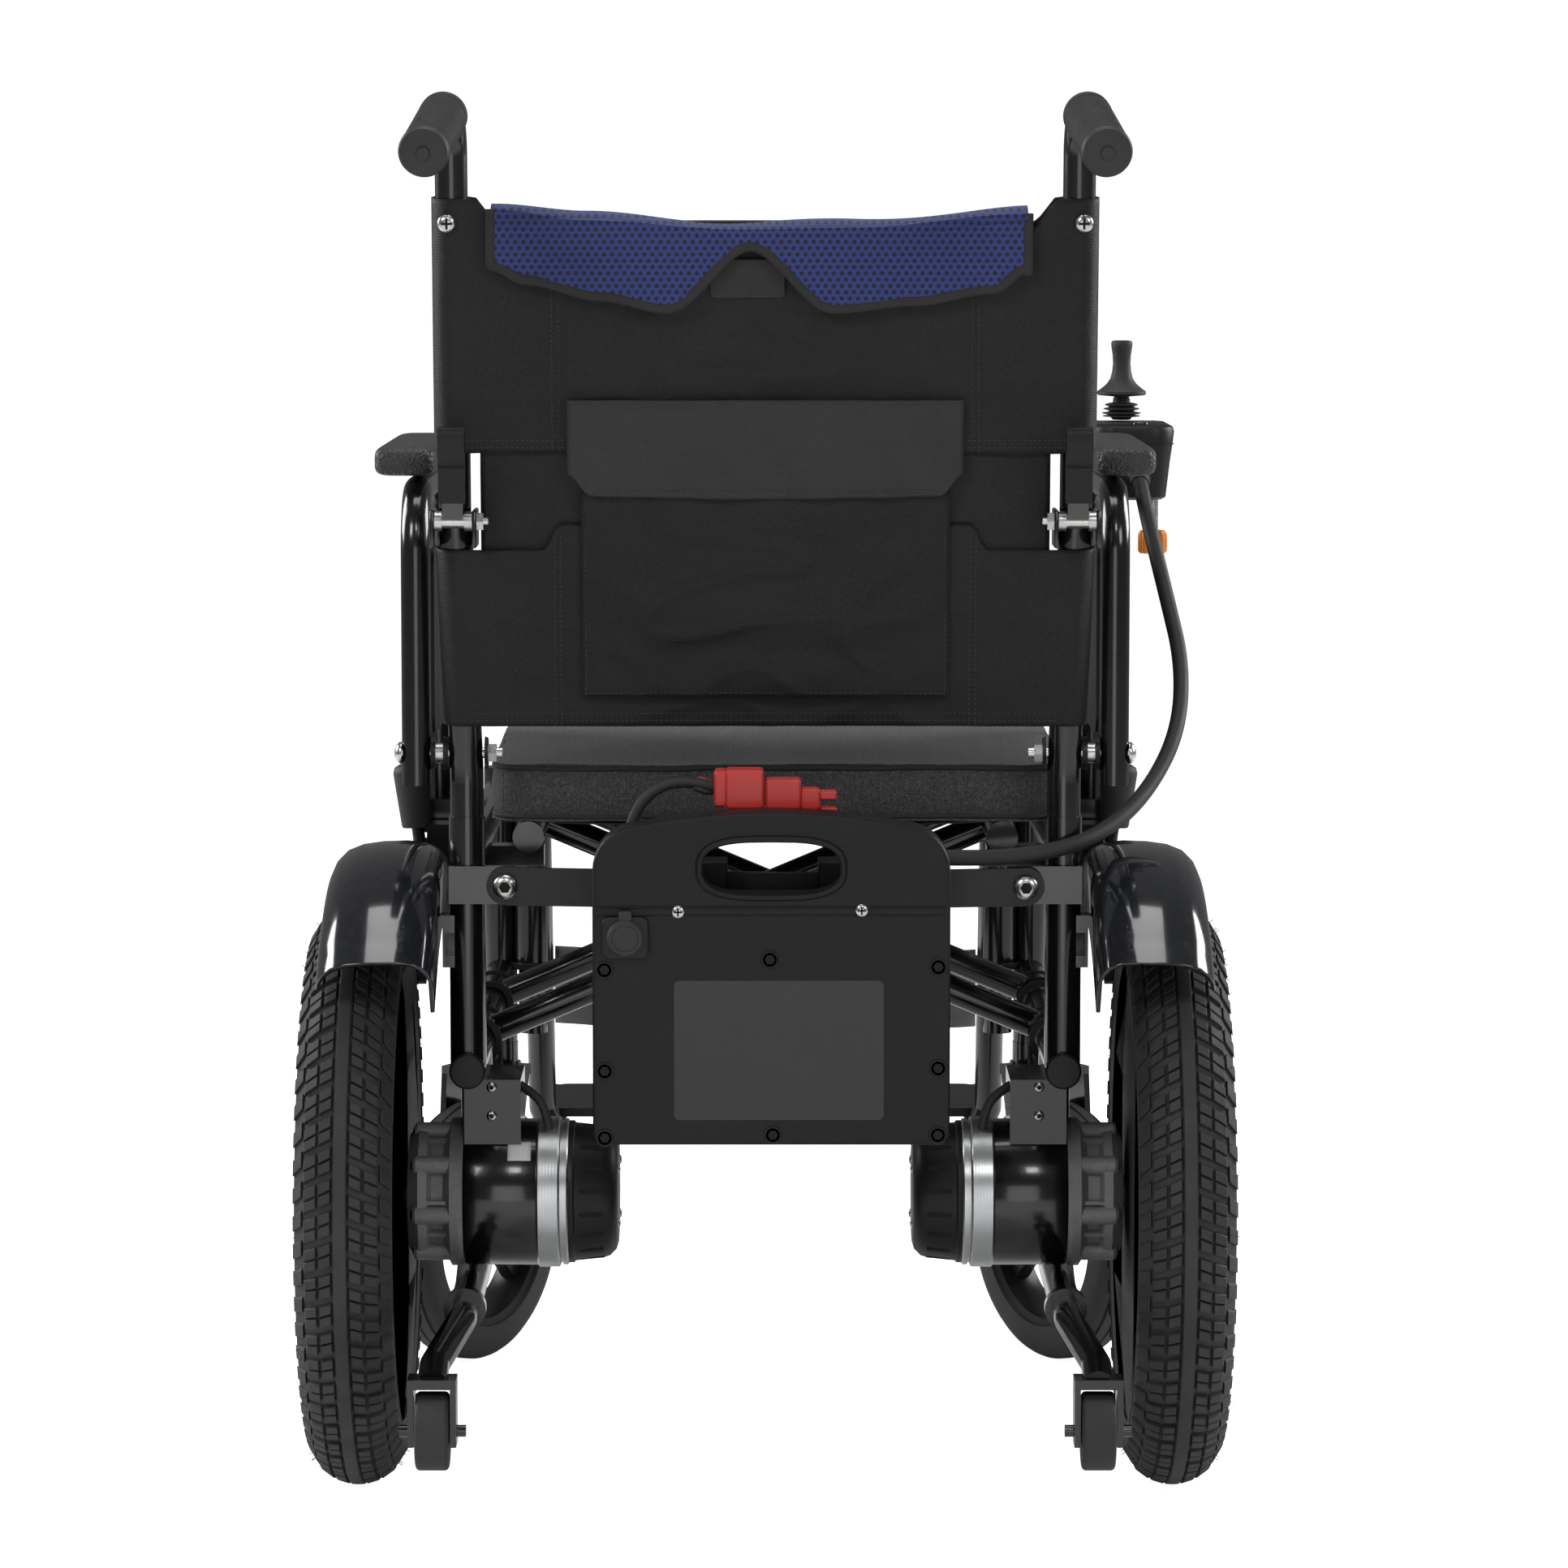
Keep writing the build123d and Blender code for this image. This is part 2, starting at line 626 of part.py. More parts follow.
def crossbar(s, layer, name):
    outer = rear_post_y - frame_tube_r - bar_thick
    face = outer - 0.2 - layer * (bar_thick + 0.2)
    end = -s * 14
    with BuildPart() as bar:
        with BuildSketch(Plane.XZ.offset(-face)):
            with Locations(((s * bar_pivot_x + end) / 2, bar_z - 2)):
                Rectangle(bar_pivot_x + 14, bar_height, rotation=s * 1.0)
            with Locations((s * bar_pivot_x, bar_z)):
                Circle(bar_height / 2)
        extrude(amount=bar_thick)
        with BuildSketch(Plane.XZ.offset(-(rear_post_y - frame_tube_r + 2.5))):
            with Locations((s * bar_pivot_x, bar_z)):
                Circle(pin_r)
        extrude(amount=rear_post_y - frame_tube_r + 2.5 - face + bar_thick)
        with BuildSketch(Plane.XZ.offset(-(face - bar_thick))):
            with Locations((s * bar_pivot_x, bar_z)):
                Circle(7)
        extrude(amount=3.2)
        fillet(bar.faces().sort_by(Axis.Y)[0].edges(), 1.2)
        if layer:
            with BuildSketch(Plane.XZ.offset(-outer + 0.2)):
                with Locations((s * bar_pivot_x, bar_z)):
                    Circle(11)
            extrude(amount=layer * (bar_thick + 0.2))
    save(bar.part, name)


def seat():
    top = seat_rail_z + seat_rail_r + soft_gap
    with BuildPart() as sling:
        with BuildSketch(Plane.XY.offset(top)):
            with Locations((0, seat_rail_back + seat_rail_length / 2)):
                RectangleRounded(2 * (seat_rail_x + seat_rail_r), seat_rail_length, 8)
        extrude(amount=sling_thickness)
    save(sling.part, "seat_sling")
    with BuildPart() as cushion:
        with BuildSketch(Plane.XY.offset(top + sling_thickness)):
            with Locations((cushion_x, cushion_back + cushion_depth / 2)):
                RectangleRounded(cushion_width, cushion_depth, 24)
        extrude(amount=cushion_height)
        fillet(cushion.faces().sort_by(Axis.Z)[-1].edges(), 9)
    save(cushion.part, "seat_cushion")


# ---- back upholstery, in the plane of the leaning back ----
panel_y = -13.4
panel_thick = 2.2
half_flap = 143.0


def panel(width, low, high, near, thick):
    middle = (low + high) / 2
    with Locations((0, near - thick / 2, middle)):
        Box(width, thick, high - low)


def back_upholstery():
    with BuildPart(back) as upper:
        for s in (-1, 1):
            with BuildSketch(back.offset(47)):
                with Locations((s * back_x, 0)):
                    Circle(back_tube_r + 1.9)
                    Circle(back_tube_r + soft_gap, mode=Mode.SUBTRACT)
            extrude(amount=172)
        panel(2 * back_x, 47, 196, panel_y + panel_thick, panel_thick)
        panel(2 * half_flap, 1.5, 60, panel_y + panel_thick, panel_thick)
        panel(264, 19, 83, panel_y, 2.4)
    save(upper.part, "back_sling_upper")
    foot = (frame_x, rear_post_y, back_bend_z)
    knee = (back_x, hinge_y, hinge_z)
    reach = [k - f for k, f in zip(knee, foot)]
    with BuildPart() as sleeves:
        for s in (-1, 1):
            ends = [(s * (foot[0] + reach[0] * t), foot[1] + reach[1] * t, foot[2] + reach[2] * t)
                    for t in (0.21, 0.855)]
            tube(ends, frame_tube_r + 1.2)
    with BuildPart() as bores:
        for s in (-1, 1):
            tube([(s * foot[0], foot[1], foot[2]), (s * knee[0], knee[1], knee[2])],
                 frame_tube_r - 1 + soft_gap)
    with BuildPart(back) as lower:
        panel(2 * half_flap, -141, -1.5, panel_y + panel_thick, panel_thick)
        panel(2 * frame_x, -141, -19, panel_y + panel_thick, panel_thick)
        panel(250, -121, -2, panel_y, 2.4)
    save(lower.part + sleeves.part - bores.part, "back_sling_lower")
    with BuildPart(back) as pad:
        panel(362, 4, 203, 12, 22.9)
        panel(362, 196.4, 203, 12, 30)
        panel(362, 146, 203, panel_y - 0.3, 4)
    save(pad.part, "mesh_back_pad")


def calf_strap():
    strap_y = axle_y + 562
    reach = hanger_x - hanger_tube_r - 1
    with BuildPart() as strap:
        with BuildSketch(Plane.XY.offset(236)):
            with BuildLine():
                ThreePointArc((-reach, strap_y), (0, strap_y - 34), (reach, strap_y))
                Line((reach, strap_y), (reach, strap_y + 3))
                ThreePointArc((reach, strap_y + 3), (0, strap_y - 31), (-reach, strap_y + 3))
                Line((-reach, strap_y + 3), (-reach, strap_y))
            make_face()
        extrude(amount=62)
    save(strap.part, "calf_strap")


# ---- battery ----
body_top = 424.0


def battery():
    rear = battery_front - battery_depth
    half = battery_width / 2
    left, right = battery_x - half, battery_x + half
    with BuildPart() as case:
        block((left, rear + cover_thickness, battery_low), (right, battery_front, body_top))
        fillet(case.edges().filter_by(Axis.Y).group_by(Axis.Z)[0], 5)
        # handle plate above the body, with its arched top
        with BuildSketch(Plane.XZ.offset(-rear)):
            with BuildLine():
                Polyline((left, body_top - 1), (left, body_top + 24))
                ThreePointArc((left, body_top + 24), (left + 10, body_top + 45), (left + 30, body_top + 54))
                ThreePointArc((left + 30, body_top + 54), (battery_x, handle_top),
                              (right - 30, body_top + 54))
                ThreePointArc((right - 30, body_top + 54), (right - 10, body_top + 45),
                              (right, body_top + 24))
                Polyline((right, body_top + 24), (right, body_top - 1), (left, body_top - 1))
            make_face()
        extrude(amount=-36)
        with BuildSketch(Plane.XZ.offset(-rear)):
            with Locations((battery_x, body_top + 26)):
                SlotOverall(98, 40)
        extrude(amount=-36, mode=Mode.SUBTRACT)
        # hollow for the cells
        with Locations((battery_x, rear + (battery_depth - battery_wall) / 2,
                        (battery_low + body_top) / 2)):
            Box(battery_width - 2 * battery_wall, battery_depth - battery_wall,
                body_top - battery_low - 2 * battery_wall, mode=Mode.SUBTRACT)
        # hooks over the crossbar
        bar_top = bar_z + bar_height / 2
        for hook_x in (battery_x - 56, battery_x + 32):
            block((hook_x, battery_front - 6, body_top - 1), (hook_x + 26, battery_front, bar_top + 6))
            block((hook_x, battery_front - 1, bar_top + soft_gap), (hook_x + 26, rear_post_y - 8, bar_top + 6))
            block((hook_x, rear_post_y - 12, bar_top - 10), (hook_x + 26, rear_post_y - 8, bar_top + 6))
    save(case.part, "battery_case")
    inner_w = battery_width - 2 * battery_wall
    with BuildPart() as cover:
        block((left + battery_wall, rear, battery_low + battery_wall),
              (right - battery_wall, rear + cover_thickness, body_top - battery_wall))
        with BuildSketch(Plane.XZ.offset(-rear)):
            with Locations((left + 22, body_top - 20)):
                Rectangle(30, 27)
        extrude(amount=3)
        with BuildSketch(Plane.XZ.offset(-(rear - 3))):
            with Locations((left + 22, body_top - 20)):
                Circle(charge_port_r)
        extrude(amount=5)
    save(cover.part, "battery_cover")
    cell = (98, battery_depth - battery_wall - cover_thickness - 2, body_top - battery_low - 10)
    with BuildPart() as cells:
        with Locations((battery_x, rear + cover_thickness + cell[1] / 2 + 1,
                        battery_low + battery_wall + cell[2] / 2)):
            with GridLocations(inner_w / 2, 1, 2, 1):
                Box(*cell)
    save(cells.part, "battery_cells")
    # red two-pole connector lying behind the handle, and the tie that holds its leads
    plug_y = rear + 48
    with BuildPart() as plug:
        with BuildSketch(Plane(origin=(-33, plug_y, 499), z_dir=(0.97, 0, -0.24))):
            Rectangle(26, 20)
        extrude(amount=50, taper=4)
        with BuildSketch(Plane(origin=(14, plug_y, 489), z_dir=(0.97, 0, -0.18))):
            Rectangle(20, 13)
        extrude(amount=30, taper=3)
    save(plug.part, "power_connector")


lead_route = [(-92, battery_front - 56, 466), (-88, battery_front - 54, 484), (-72, battery_front - 53, 500),
              (-52, battery_front - 52, 504), (-33.5, battery_front - 52, 499)]
cable_route = [(274, axle_y + 244, 688), (274, axle_y + 212, 680), (280, axle_y + 190, 648),
               (289, axle_y + 160, 606), (297, axle_y + 115, 563), (291, axle_y + 64, 520),
               (268, axle_y + 18, 484), (238, axle_y - 26, 461), (205, axle_y - 55, 450),
               (165, axle_y - 60, 445), (130, axle_y - 58, 444), (102, axle_y - 59, 445)]


def corded(route, radius, name):
    radii = []
    for a, b, c in zip(route, route[1:], route[2:]):
        first = Vector(*b) - Vector(*a)
        second = Vector(*c) - Vector(*b)
        turn = radians(first.get_angle(second))
        radii.append(0.45 * min(first.length, second.length) / tan(turn / 2))
    print(name, "bend radii", [round(r, 1) for r in radii])
    with BuildPart() as cord:
        with BuildLine() as path:
            FilletPolyline(*route, radius=radii)
        with BuildSketch(Plane(origin=path.line @ 0, z_dir=path.line % 0)):
            Circle(radius)
        sweep(path=path.line)
    section = pi * radius**2 * sum(edge.length for edge in path.line.edges())
    print(name, "volume against section times length", round(cord.part.volume / section, 4))
    save(cord.part, name)


# ---- hand control, on the right armrest ----
stick = (264.0, axle_y + 295.0, 731.0)


def hand_control():
    top = 727.0
    with BuildPart() as housing:
        with BuildSketch(Plane.XY.offset(top)):
            with Locations((270, axle_y + 296)):
                RectangleRounded(62, 102, 20)
        with BuildSketch(Plane.XY.offset(672)):
            with Locations((270, axle_y + 292)):
                RectangleRounded(50, 88, 16)
        loft()
        fillet(housing.faces().sort_by(Axis.Z)[-1].edges(), 5)
        block((249.8, axle_y + 224, 678), (254, axle_y + 262, 690))
        # pocket of the power button
        with BuildSketch(Plane.XY.offset(top - 4)):
            with Locations((276, axle_y + 266)):
                Circle(6.3)
        extrude(amount=5, mode=Mode.SUBTRACT)
        # clamp screw and its knob under the housing
        with BuildSketch(Plane.XY.offset(645)):
            with Locations((287, axle_y + 284)):
                Circle(4)
        extrude(amount=29)
        with BuildSketch(Plane.XY.offset(631)):
            with Locations((287, axle_y + 284)):
                RegularPolygon(10.5, 8)
        extrude(amount=17)
    save(housing.part, "controller_housing")
    with BuildPart() as button:
        with BuildSketch(Plane.XY.offset(top - 2.2)):
            with Locations((276, axle_y + 266)):
                Circle(6)
        extrude(amount=4)
        fillet(button.faces().sort_by(Axis.Z)[-1].edges(), 1)
    save(button.part, "power_button")
    with BuildPart() as boot:
        with Locations(stick):
            Sphere(3.7)
        for ring_z, ring_r in ((2.2, 13), (5.6, 12)):
            with BuildSketch(Plane.XY.offset(stick[2] + ring_z)):
                with Locations(stick[:2]):
                    Circle(ring_r)
            extrude(amount=2.4)
        with BuildSketch(Plane.XY.offset(stick[2] + 1)):
            with Locations(stick[:2]):
                Circle(6)
        extrude(amount=7)
        # dome that the stick's hollow foot turns on
        with BuildSketch(Plane.XZ.offset(-stick[1])):
            with BuildLine():
                Polyline((stick[0], stick[2] + 7.5), (stick[0] + 4.5, stick[2] + 7.5),
                         (stick[0] + 4.5, stick[2] + 10), (stick[0] + 2.5, stick[2] + 10.7),
                         (stick[0], stick[2] + 10.7), close=True)
            make_face()
        revolve(axis=Axis(stick, (0, 0, 1)))
    save(boot.part, "joystick_boot")
    with BuildPart() as handle:
        with BuildSketch(Plane.XZ.offset(-stick[1])):
            with BuildLine():
                Polyline((stick[0], stick[2] + 8), (stick[0] + 5, stick[2] + 8), (stick[0] + 5, stick[2] + 17),
                         (stick[0] + 18, stick[2] + 17), (stick[0] + 18, stick[2] + 20),
                         (stick[0] + 7, stick[2] + 33), (stick[0] + 6, stick[2] + 44),
                         (stick[0] + 8, stick[2] + 55), (stick[0], stick[2] + 57), close=True)
            make_face()
        revolve(axis=Axis(stick, (0, 0, 1)))
        with Locations(stick):
            Sphere(11.3, mode=Mode.SUBTRACT)
    save(handle.part, "joystick")


cross_brace(-1, 0, "cross_brace_left")
cross_brace(1, brace_step, "cross_brace_right")
crossbar(-1, 0, "crossbar_left")
crossbar(1, 1, "crossbar_right")
seat()
back_upholstery()
calf_strap()
battery()
corded(lead_route, 4.0, "battery_lead")
corded(cable_route, 5.5, "joystick_cable")
hand_control()
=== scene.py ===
import bpy
import bmesh
import math
import random
from mathutils import Vector, Matrix, noise


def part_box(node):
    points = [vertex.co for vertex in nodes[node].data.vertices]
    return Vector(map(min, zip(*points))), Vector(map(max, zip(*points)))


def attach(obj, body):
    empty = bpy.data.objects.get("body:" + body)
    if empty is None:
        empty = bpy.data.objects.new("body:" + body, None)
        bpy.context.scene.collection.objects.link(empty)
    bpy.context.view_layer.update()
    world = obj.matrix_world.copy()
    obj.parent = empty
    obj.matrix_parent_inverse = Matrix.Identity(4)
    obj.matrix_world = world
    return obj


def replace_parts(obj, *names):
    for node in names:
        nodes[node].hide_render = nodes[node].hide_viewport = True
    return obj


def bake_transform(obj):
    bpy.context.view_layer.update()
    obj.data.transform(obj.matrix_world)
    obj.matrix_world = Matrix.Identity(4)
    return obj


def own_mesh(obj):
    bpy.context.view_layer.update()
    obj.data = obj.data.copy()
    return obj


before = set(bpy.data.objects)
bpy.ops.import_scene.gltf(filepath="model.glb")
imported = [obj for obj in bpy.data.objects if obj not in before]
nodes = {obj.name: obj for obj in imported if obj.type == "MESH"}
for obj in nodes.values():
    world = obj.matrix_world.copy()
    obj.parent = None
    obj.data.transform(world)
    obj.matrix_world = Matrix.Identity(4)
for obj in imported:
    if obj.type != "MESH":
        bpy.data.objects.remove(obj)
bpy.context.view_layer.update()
random.seed(7)
mm = 0.001
axleY = sum(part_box("drive_tyre_left")[i][1] for i in (0, 1)) / 2
print("frame loaded, axle at", round(axleY, 4))


class Wire:
    # a socket that takes part in plain maths
    def __init__(self, mat, socket):
        self.mat = mat
        self.socket = socket

    def maths(self, operation, first, second=None):
        values = {0: first} if second is None else {0: first, 1: second}
        return self.mat.add("ShaderNodeMath", {"operation": operation}, values)

    def __add__(self, other):
        return self.maths("ADD", self, other)

    def __radd__(self, other):
        return self.maths("ADD", other, self)

    def __sub__(self, other):
        return self.maths("SUBTRACT", self, other)

    def __rsub__(self, other):
        return self.maths("SUBTRACT", other, self)

    def __mul__(self, other):
        return self.maths("MULTIPLY", self, other)

    def __rmul__(self, other):
        return self.maths("MULTIPLY", other, self)

    def __truediv__(self, other):
        return self.maths("DIVIDE", self, other)

    def __rtruediv__(self, other):
        return self.maths("DIVIDE", other, self)

    def __pow__(self, other):
        return self.maths("POWER", self, other)

    def __mod__(self, other):
        return self.maths("FLOORED_MODULO", self, other)

    def __abs__(self):
        return self.maths("ABSOLUTE", self)

    def floor(self):
        return self.maths("FLOOR", self)

    def sine(self):
        return self.maths("SINE", self)


class Finish:
    # a material with its Principled shader
    def __init__(self, name, color, roughness, metallic=0.0, coat=0.0, sheen=0.0, coatRough=0.1):
        self.material = bpy.data.materials.new(name)
        self.material.use_nodes = True
        self.tree = self.material.node_tree
        self.shader = self.tree.nodes["Principled BSDF"]
        for socket, value in (("Base Color", (*color, 1)), ("Roughness", roughness),
                              ("Metallic", metallic), ("Coat Weight", coat),
                              ("Coat Roughness", coatRough), ("Sheen Weight", sheen)):
            self.shader.inputs[socket].default_value = value
        place = self.tree.nodes.new("ShaderNodeTexCoord")
        self.place = Wire(self, place.outputs["Object"])

    def add(self, kind, settings=None, values=None, output=0):
        node = self.tree.nodes.new(kind)
        for key, value in (settings or {}).items():
            if key == "stops":
                ramp = node.color_ramp
                for index, (position, shade) in enumerate(value):
                    stop = ramp.elements[index] if index < 2 else ramp.elements.new(position)
                    stop.position = position
                    stop.color = (*shade, 1) if isinstance(shade, tuple) else (shade, shade, shade, 1)
            else:
                setattr(node, key, value)
        for key, value in (values or {}).items():
            if isinstance(value, Wire):
                self.tree.links.new(value.socket, node.inputs[key])
            else:
                node.inputs[key].default_value = value
        return Wire(self, node.outputs[output])

    def axes(self, scale=1.0):
        # the three coordinates in millimetres over scale
        split = self.tree.nodes.new("ShaderNodeSeparateXYZ")
        self.tree.links.new(self.place.socket, split.inputs[0])
        return [Wire(self, split.outputs[i]) * (1000.0 / scale) for i in range(3)]

    def noise(self, scale, detail=4.0, rough=0.55, stretch=(1, 1, 1)):
        at = self.add("ShaderNodeVectorMath", {"operation": "MULTIPLY"}, {0: self.place, 1: stretch})
        return self.add("ShaderNodeTexNoise", {}, {"Vector": at, "Scale": scale, "Detail": detail,
                                                   "Roughness": rough})

    def cells(self, scale, feature="F1"):
        return self.add("ShaderNodeTexVoronoi", {"feature": feature}, {"Vector": self.place, "Scale": scale})

    def tint(self, mask, other):
        # blends the base colour towards another one
        mix = self.tree.nodes.new("ShaderNodeMix")
        mix.data_type = "RGBA"
        base = self.shader.inputs["Base Color"]
        if base.is_linked:
            self.tree.links.new(base.links[0].from_socket, mix.inputs[6])
        else:
            mix.inputs[6].default_value = base.default_value
        mix.inputs[7].default_value = (*other, 1)
        self.tree.links.new(mask.socket, mix.inputs[0])
        self.tree.links.new(mix.outputs[2], base)
        return self

    def drive(self, socket, wire):
        self.tree.links.new(wire.socket, self.shader.inputs[socket])
        return self

    def bump(self, height, strength, distance):
        before = self.shader.inputs["Normal"]
        node = self.tree.nodes.new("ShaderNodeBump")
        node.inputs["Strength"].default_value = strength
        node.inputs["Distance"].default_value = distance
        self.tree.links.new(height.socket, node.inputs["Height"])
        if before.is_linked:
            self.tree.links.new(before.links[0].from_socket, node.inputs["Normal"])
        self.tree.links.new(node.outputs[0], before)
        return self


def powderCoat():
    look = Finish("gloss powder coat", (0.004, 0.004, 0.0045), 0.2, coat=0.6)
    look.drive("Roughness", look.noise(60) * 0.14 + 0.13)
    look.tint(look.noise(9, 5) ** 3 * 0.5, (0.02, 0.02, 0.022))
    return look.bump(look.noise(420, 2), 0.12, 0.0004)


def satinPlastic(name="satin plastic", color=(0.009, 0.009, 0.010), rough=0.42):
    look = Finish(name, color, rough)
    look.shader.inputs["Specular IOR Level"].default_value = 0.3
    look.drive("Roughness", look.noise(40) * 0.16 + (rough - 0.08))
    look.tint(look.noise(14, 6) ** 2 * 0.6, tuple(c * 1.9 for c in color))
    return look.bump(look.cells(1500), 0.16, 0.0002)


def glossPlastic():
    look = Finish("gloss fender plastic", (0.010, 0.011, 0.014), 0.12, coat=0.6, coatRough=0.05)
    look.drive("Roughness", look.noise(25, 5) * 0.14 + 0.06)
    look.tint(look.noise(160, 3) ** 6 * 2.0, (0.05, 0.05, 0.055))
    return look.bump(look.noise(18, 2), 0.08, 0.002)


def mouldedRubber(name="moulded rubber", color=(0.016, 0.016, 0.017)):
    look = Finish(name, color, 0.62)
    look.drive("Roughness", look.noise(70) * 0.2 + 0.5)
    look.tint(look.noise(35, 6) ** 2, tuple(c * 2.4 for c in color))
    return look.bump(look.noise(900, 3), 0.25, 0.0004)


def treadRubber():
    look = Finish("tread rubber", (0.017, 0.017, 0.018), 0.72)
    look.drive("Roughness", look.noise(50) * 0.3 + 0.5)
    look.tint(look.noise(22, 8, 0.7) ** 2 * 1.1, (0.055, 0.054, 0.052))
    return look.bump(look.noise(650, 4), 0.35, 0.0006)


def castAluminium():
    look = Finish("cast aluminium", (0.30, 0.30, 0.30), 0.5, metallic=0.45)
    look.drive("Roughness", look.noise(120) * 0.35 + 0.32)
    look.tint(look.noise(30, 7, 0.7) ** 2 * 1.2, (0.13, 0.13, 0.13))
    return look.bump(look.noise(520, 5, 0.7), 0.7, 0.0012)


def turnedAluminium():
    look = Finish("turned aluminium", (0.62, 0.63, 0.64), 0.3, metallic=1.0)
    look.drive("Roughness", look.noise(80) * 0.2 + 0.22)
    return look.bump(look.axes(0.35)[0].sine(), 0.06, 0.0002).tint(look.noise(60, 6) ** 3, (0.4, 0.4, 0.4))


def zincPlate():
    look = Finish("zinc plate", (0.66, 0.68, 0.7), 0.25, metallic=1.0)
    look.drive("Roughness", look.noise(240) * 0.3 + 0.12)
    look.tint(look.noise(150, 3), (0.62, 0.64, 0.52)).tint(look.noise(90, 4) ** 4, (0.42, 0.5, 0.6))
    return look.bump(look.noise(700), 0.15, 0.0003)


def weave(look, pitch, depth, strength):
    # over-and-under threads in the X-Z face, with a slight unevenness
    x, y, z = look.axes(pitch)
    wobble = look.noise(30) * 0.8
    warp = ((x + wobble) * math.pi).sine()
    weft = ((z + y + wobble) * math.pi).sine()
    cloth = abs(warp) * 0.5 + abs(weft) * 0.5 + warp * weft * 0.5
    return look.bump(cloth, strength, depth), cloth


def oxfordNylon(name="oxford nylon", color=(0.004, 0.004, 0.005), light=(0.012, 0.012, 0.014), rough=0.4):
    look = Finish(name, color, rough, sheen=0.03)
    look.shader.inputs["Specular IOR Level"].default_value = 0.32
    look, cloth = weave(look, 0.85, 0.00045, 0.55)
    look.tint(cloth * 0.35, light).tint(look.noise(7, 5) ** 2 * 0.5, light)
    return look.drive("Roughness", look.noise(18, 5) * 0.2 + cloth * 0.1 + (rough - 0.1))


def knitCloth():
    look = Finish("ribbed knit", (0.012, 0.012, 0.013), 0.85, sheen=0.2)
    x, y, z = look.axes(1.6)
    ribs = abs((x * math.pi).sine()) * 0.6 + abs(((y + z) * 1.3 * math.pi).sine()) * 0.4
    speck = look.cells(700) ** 2
    look.tint(speck * 1.6, (0.075, 0.075, 0.08)).tint(look.noise(240, 3) ** 3 * 1.2, (0.11, 0.11, 0.115))
    return look.bump(ribs + speck * 0.5, 0.8, 0.0009)


def airMesh():
    # knitted spacer mesh: staggered long holes between blue threads; the holes are painted near-black as the
    # shade inside them
    look = Finish("blue air mesh", (0.014, 0.03, 0.15), 0.6, sheen=0.15)
    x, y, z = look.axes(1.0)
    row = (z / 4.2).floor()
    shift = (row % 2.0) * 2.7
    u = ((x + shift) % 5.4) / 5.4 - 0.5
    v = (z % 4.2) / 4.2 - 0.5
    away = (u * u * 9.0 + v * v * 5.2) ** 0.5
    hole = look.add("ShaderNodeMapRange", {"interpolation_type": "SMOOTHSTEP"},
                 {0: away, 1: 0.62, 2: 0.86, 3: 1.0, 4: 0.0})
    thread = abs(((x + z * 0.6) * 3.6).sine())
    # lighter blue along the threads; the holes painted near-black as painted shade inside the mesh
    look.tint(thread * 0.5, (0.03, 0.06, 0.33)).tint(hole, (0.002, 0.003, 0.012))
    return look.bump(1 - hole + thread * 0.2, 0.9, 0.0012)


def pebbledSkin():
    look = Finish("pebbled foam skin", (0.02, 0.02, 0.021), 0.42)
    grain = look.cells(430)
    look.drive("Roughness", grain * 0.4 + 0.3)
    return look.tint(grain * 0.8, (0.045, 0.045, 0.047)).bump(grain, 0.75, 0.001)


def strapCloth():
    look = Finish("grey strap cloth", (0.13, 0.13, 0.135), 0.8, sheen=0.3)
    look, cloth = weave(look, 1.1, 0.0005, 0.6)
    return look.tint(look.noise(20, 6) ** 2, (0.05, 0.05, 0.05)).tint(cloth * 0.3, (0.2, 0.2, 0.2))


def coloured(name, color, rough=0.35, coat=0.2):
    look = Finish(name, color, rough, coat=coat)
    look.drive("Roughness", look.noise(90) * 0.15 + (rough - 0.06))
    look.tint(look.noise(30, 5) ** 2 * 0.5, tuple(c * 0.6 for c in color))
    return look.bump(look.noise(300), 0.1, 0.0004)


finish = {
    "frame": powderCoat(), "plastic": satinPlastic(), "gloss": glossPlastic(),
    "battery": satinPlastic("battery case plastic", (0.0055, 0.0058, 0.0066), 0.5),
    "rubber": mouldedRubber(), "tread": treadRubber(), "cast": castAluminium(),
    "turned": turnedAluminium(), "zinc": zincPlate(), "nylon": oxfordNylon(),
    "greyNylon": oxfordNylon("shiny flap nylon", (0.016, 0.016, 0.018), (0.05, 0.05, 0.054), 0.34),
    "binding": oxfordNylon("binding tape", (0.016, 0.016, 0.017), (0.05, 0.05, 0.052), 0.6),
    "knit": knitCloth(), "mesh": airMesh(), "pad": pebbledSkin(), "strap": strapCloth(),
    "rim": satinPlastic("satin rim paint", (0.011, 0.011, 0.012), 0.3),
    "red": coloured("red plastic", (0.62, 0.018, 0.012)),
    "orange": coloured("orange plastic", (0.85, 0.25, 0.01)),
    "cable": mouldedRubber("cable sheath", (0.014, 0.014, 0.015)),
    "slate": coloured("slate label film", (0.014, 0.013, 0.015), 0.35, 0.1),
    "thread": coloured("stitching thread", (0.05, 0.05, 0.052), 0.6, 0.0),
    "paper": coloured("white label paper", (0.7, 0.7, 0.68), 0.5, 0.0),
    # near-black finish: painted shade inside screw slots, sockets, vent slots, screw wells and along the
    # battery's step; also the controller's dark seam line
    "void": coloured("dark recess", (0.002, 0.002, 0.002), 0.8, 0.0),
}
print("finishes", len(finish))


def dress(name, key):
    # gives a carried-over part its finish
    thing = nodes[name]
    thing.data.materials.clear()
    thing.data.materials.append(finish[key].material)


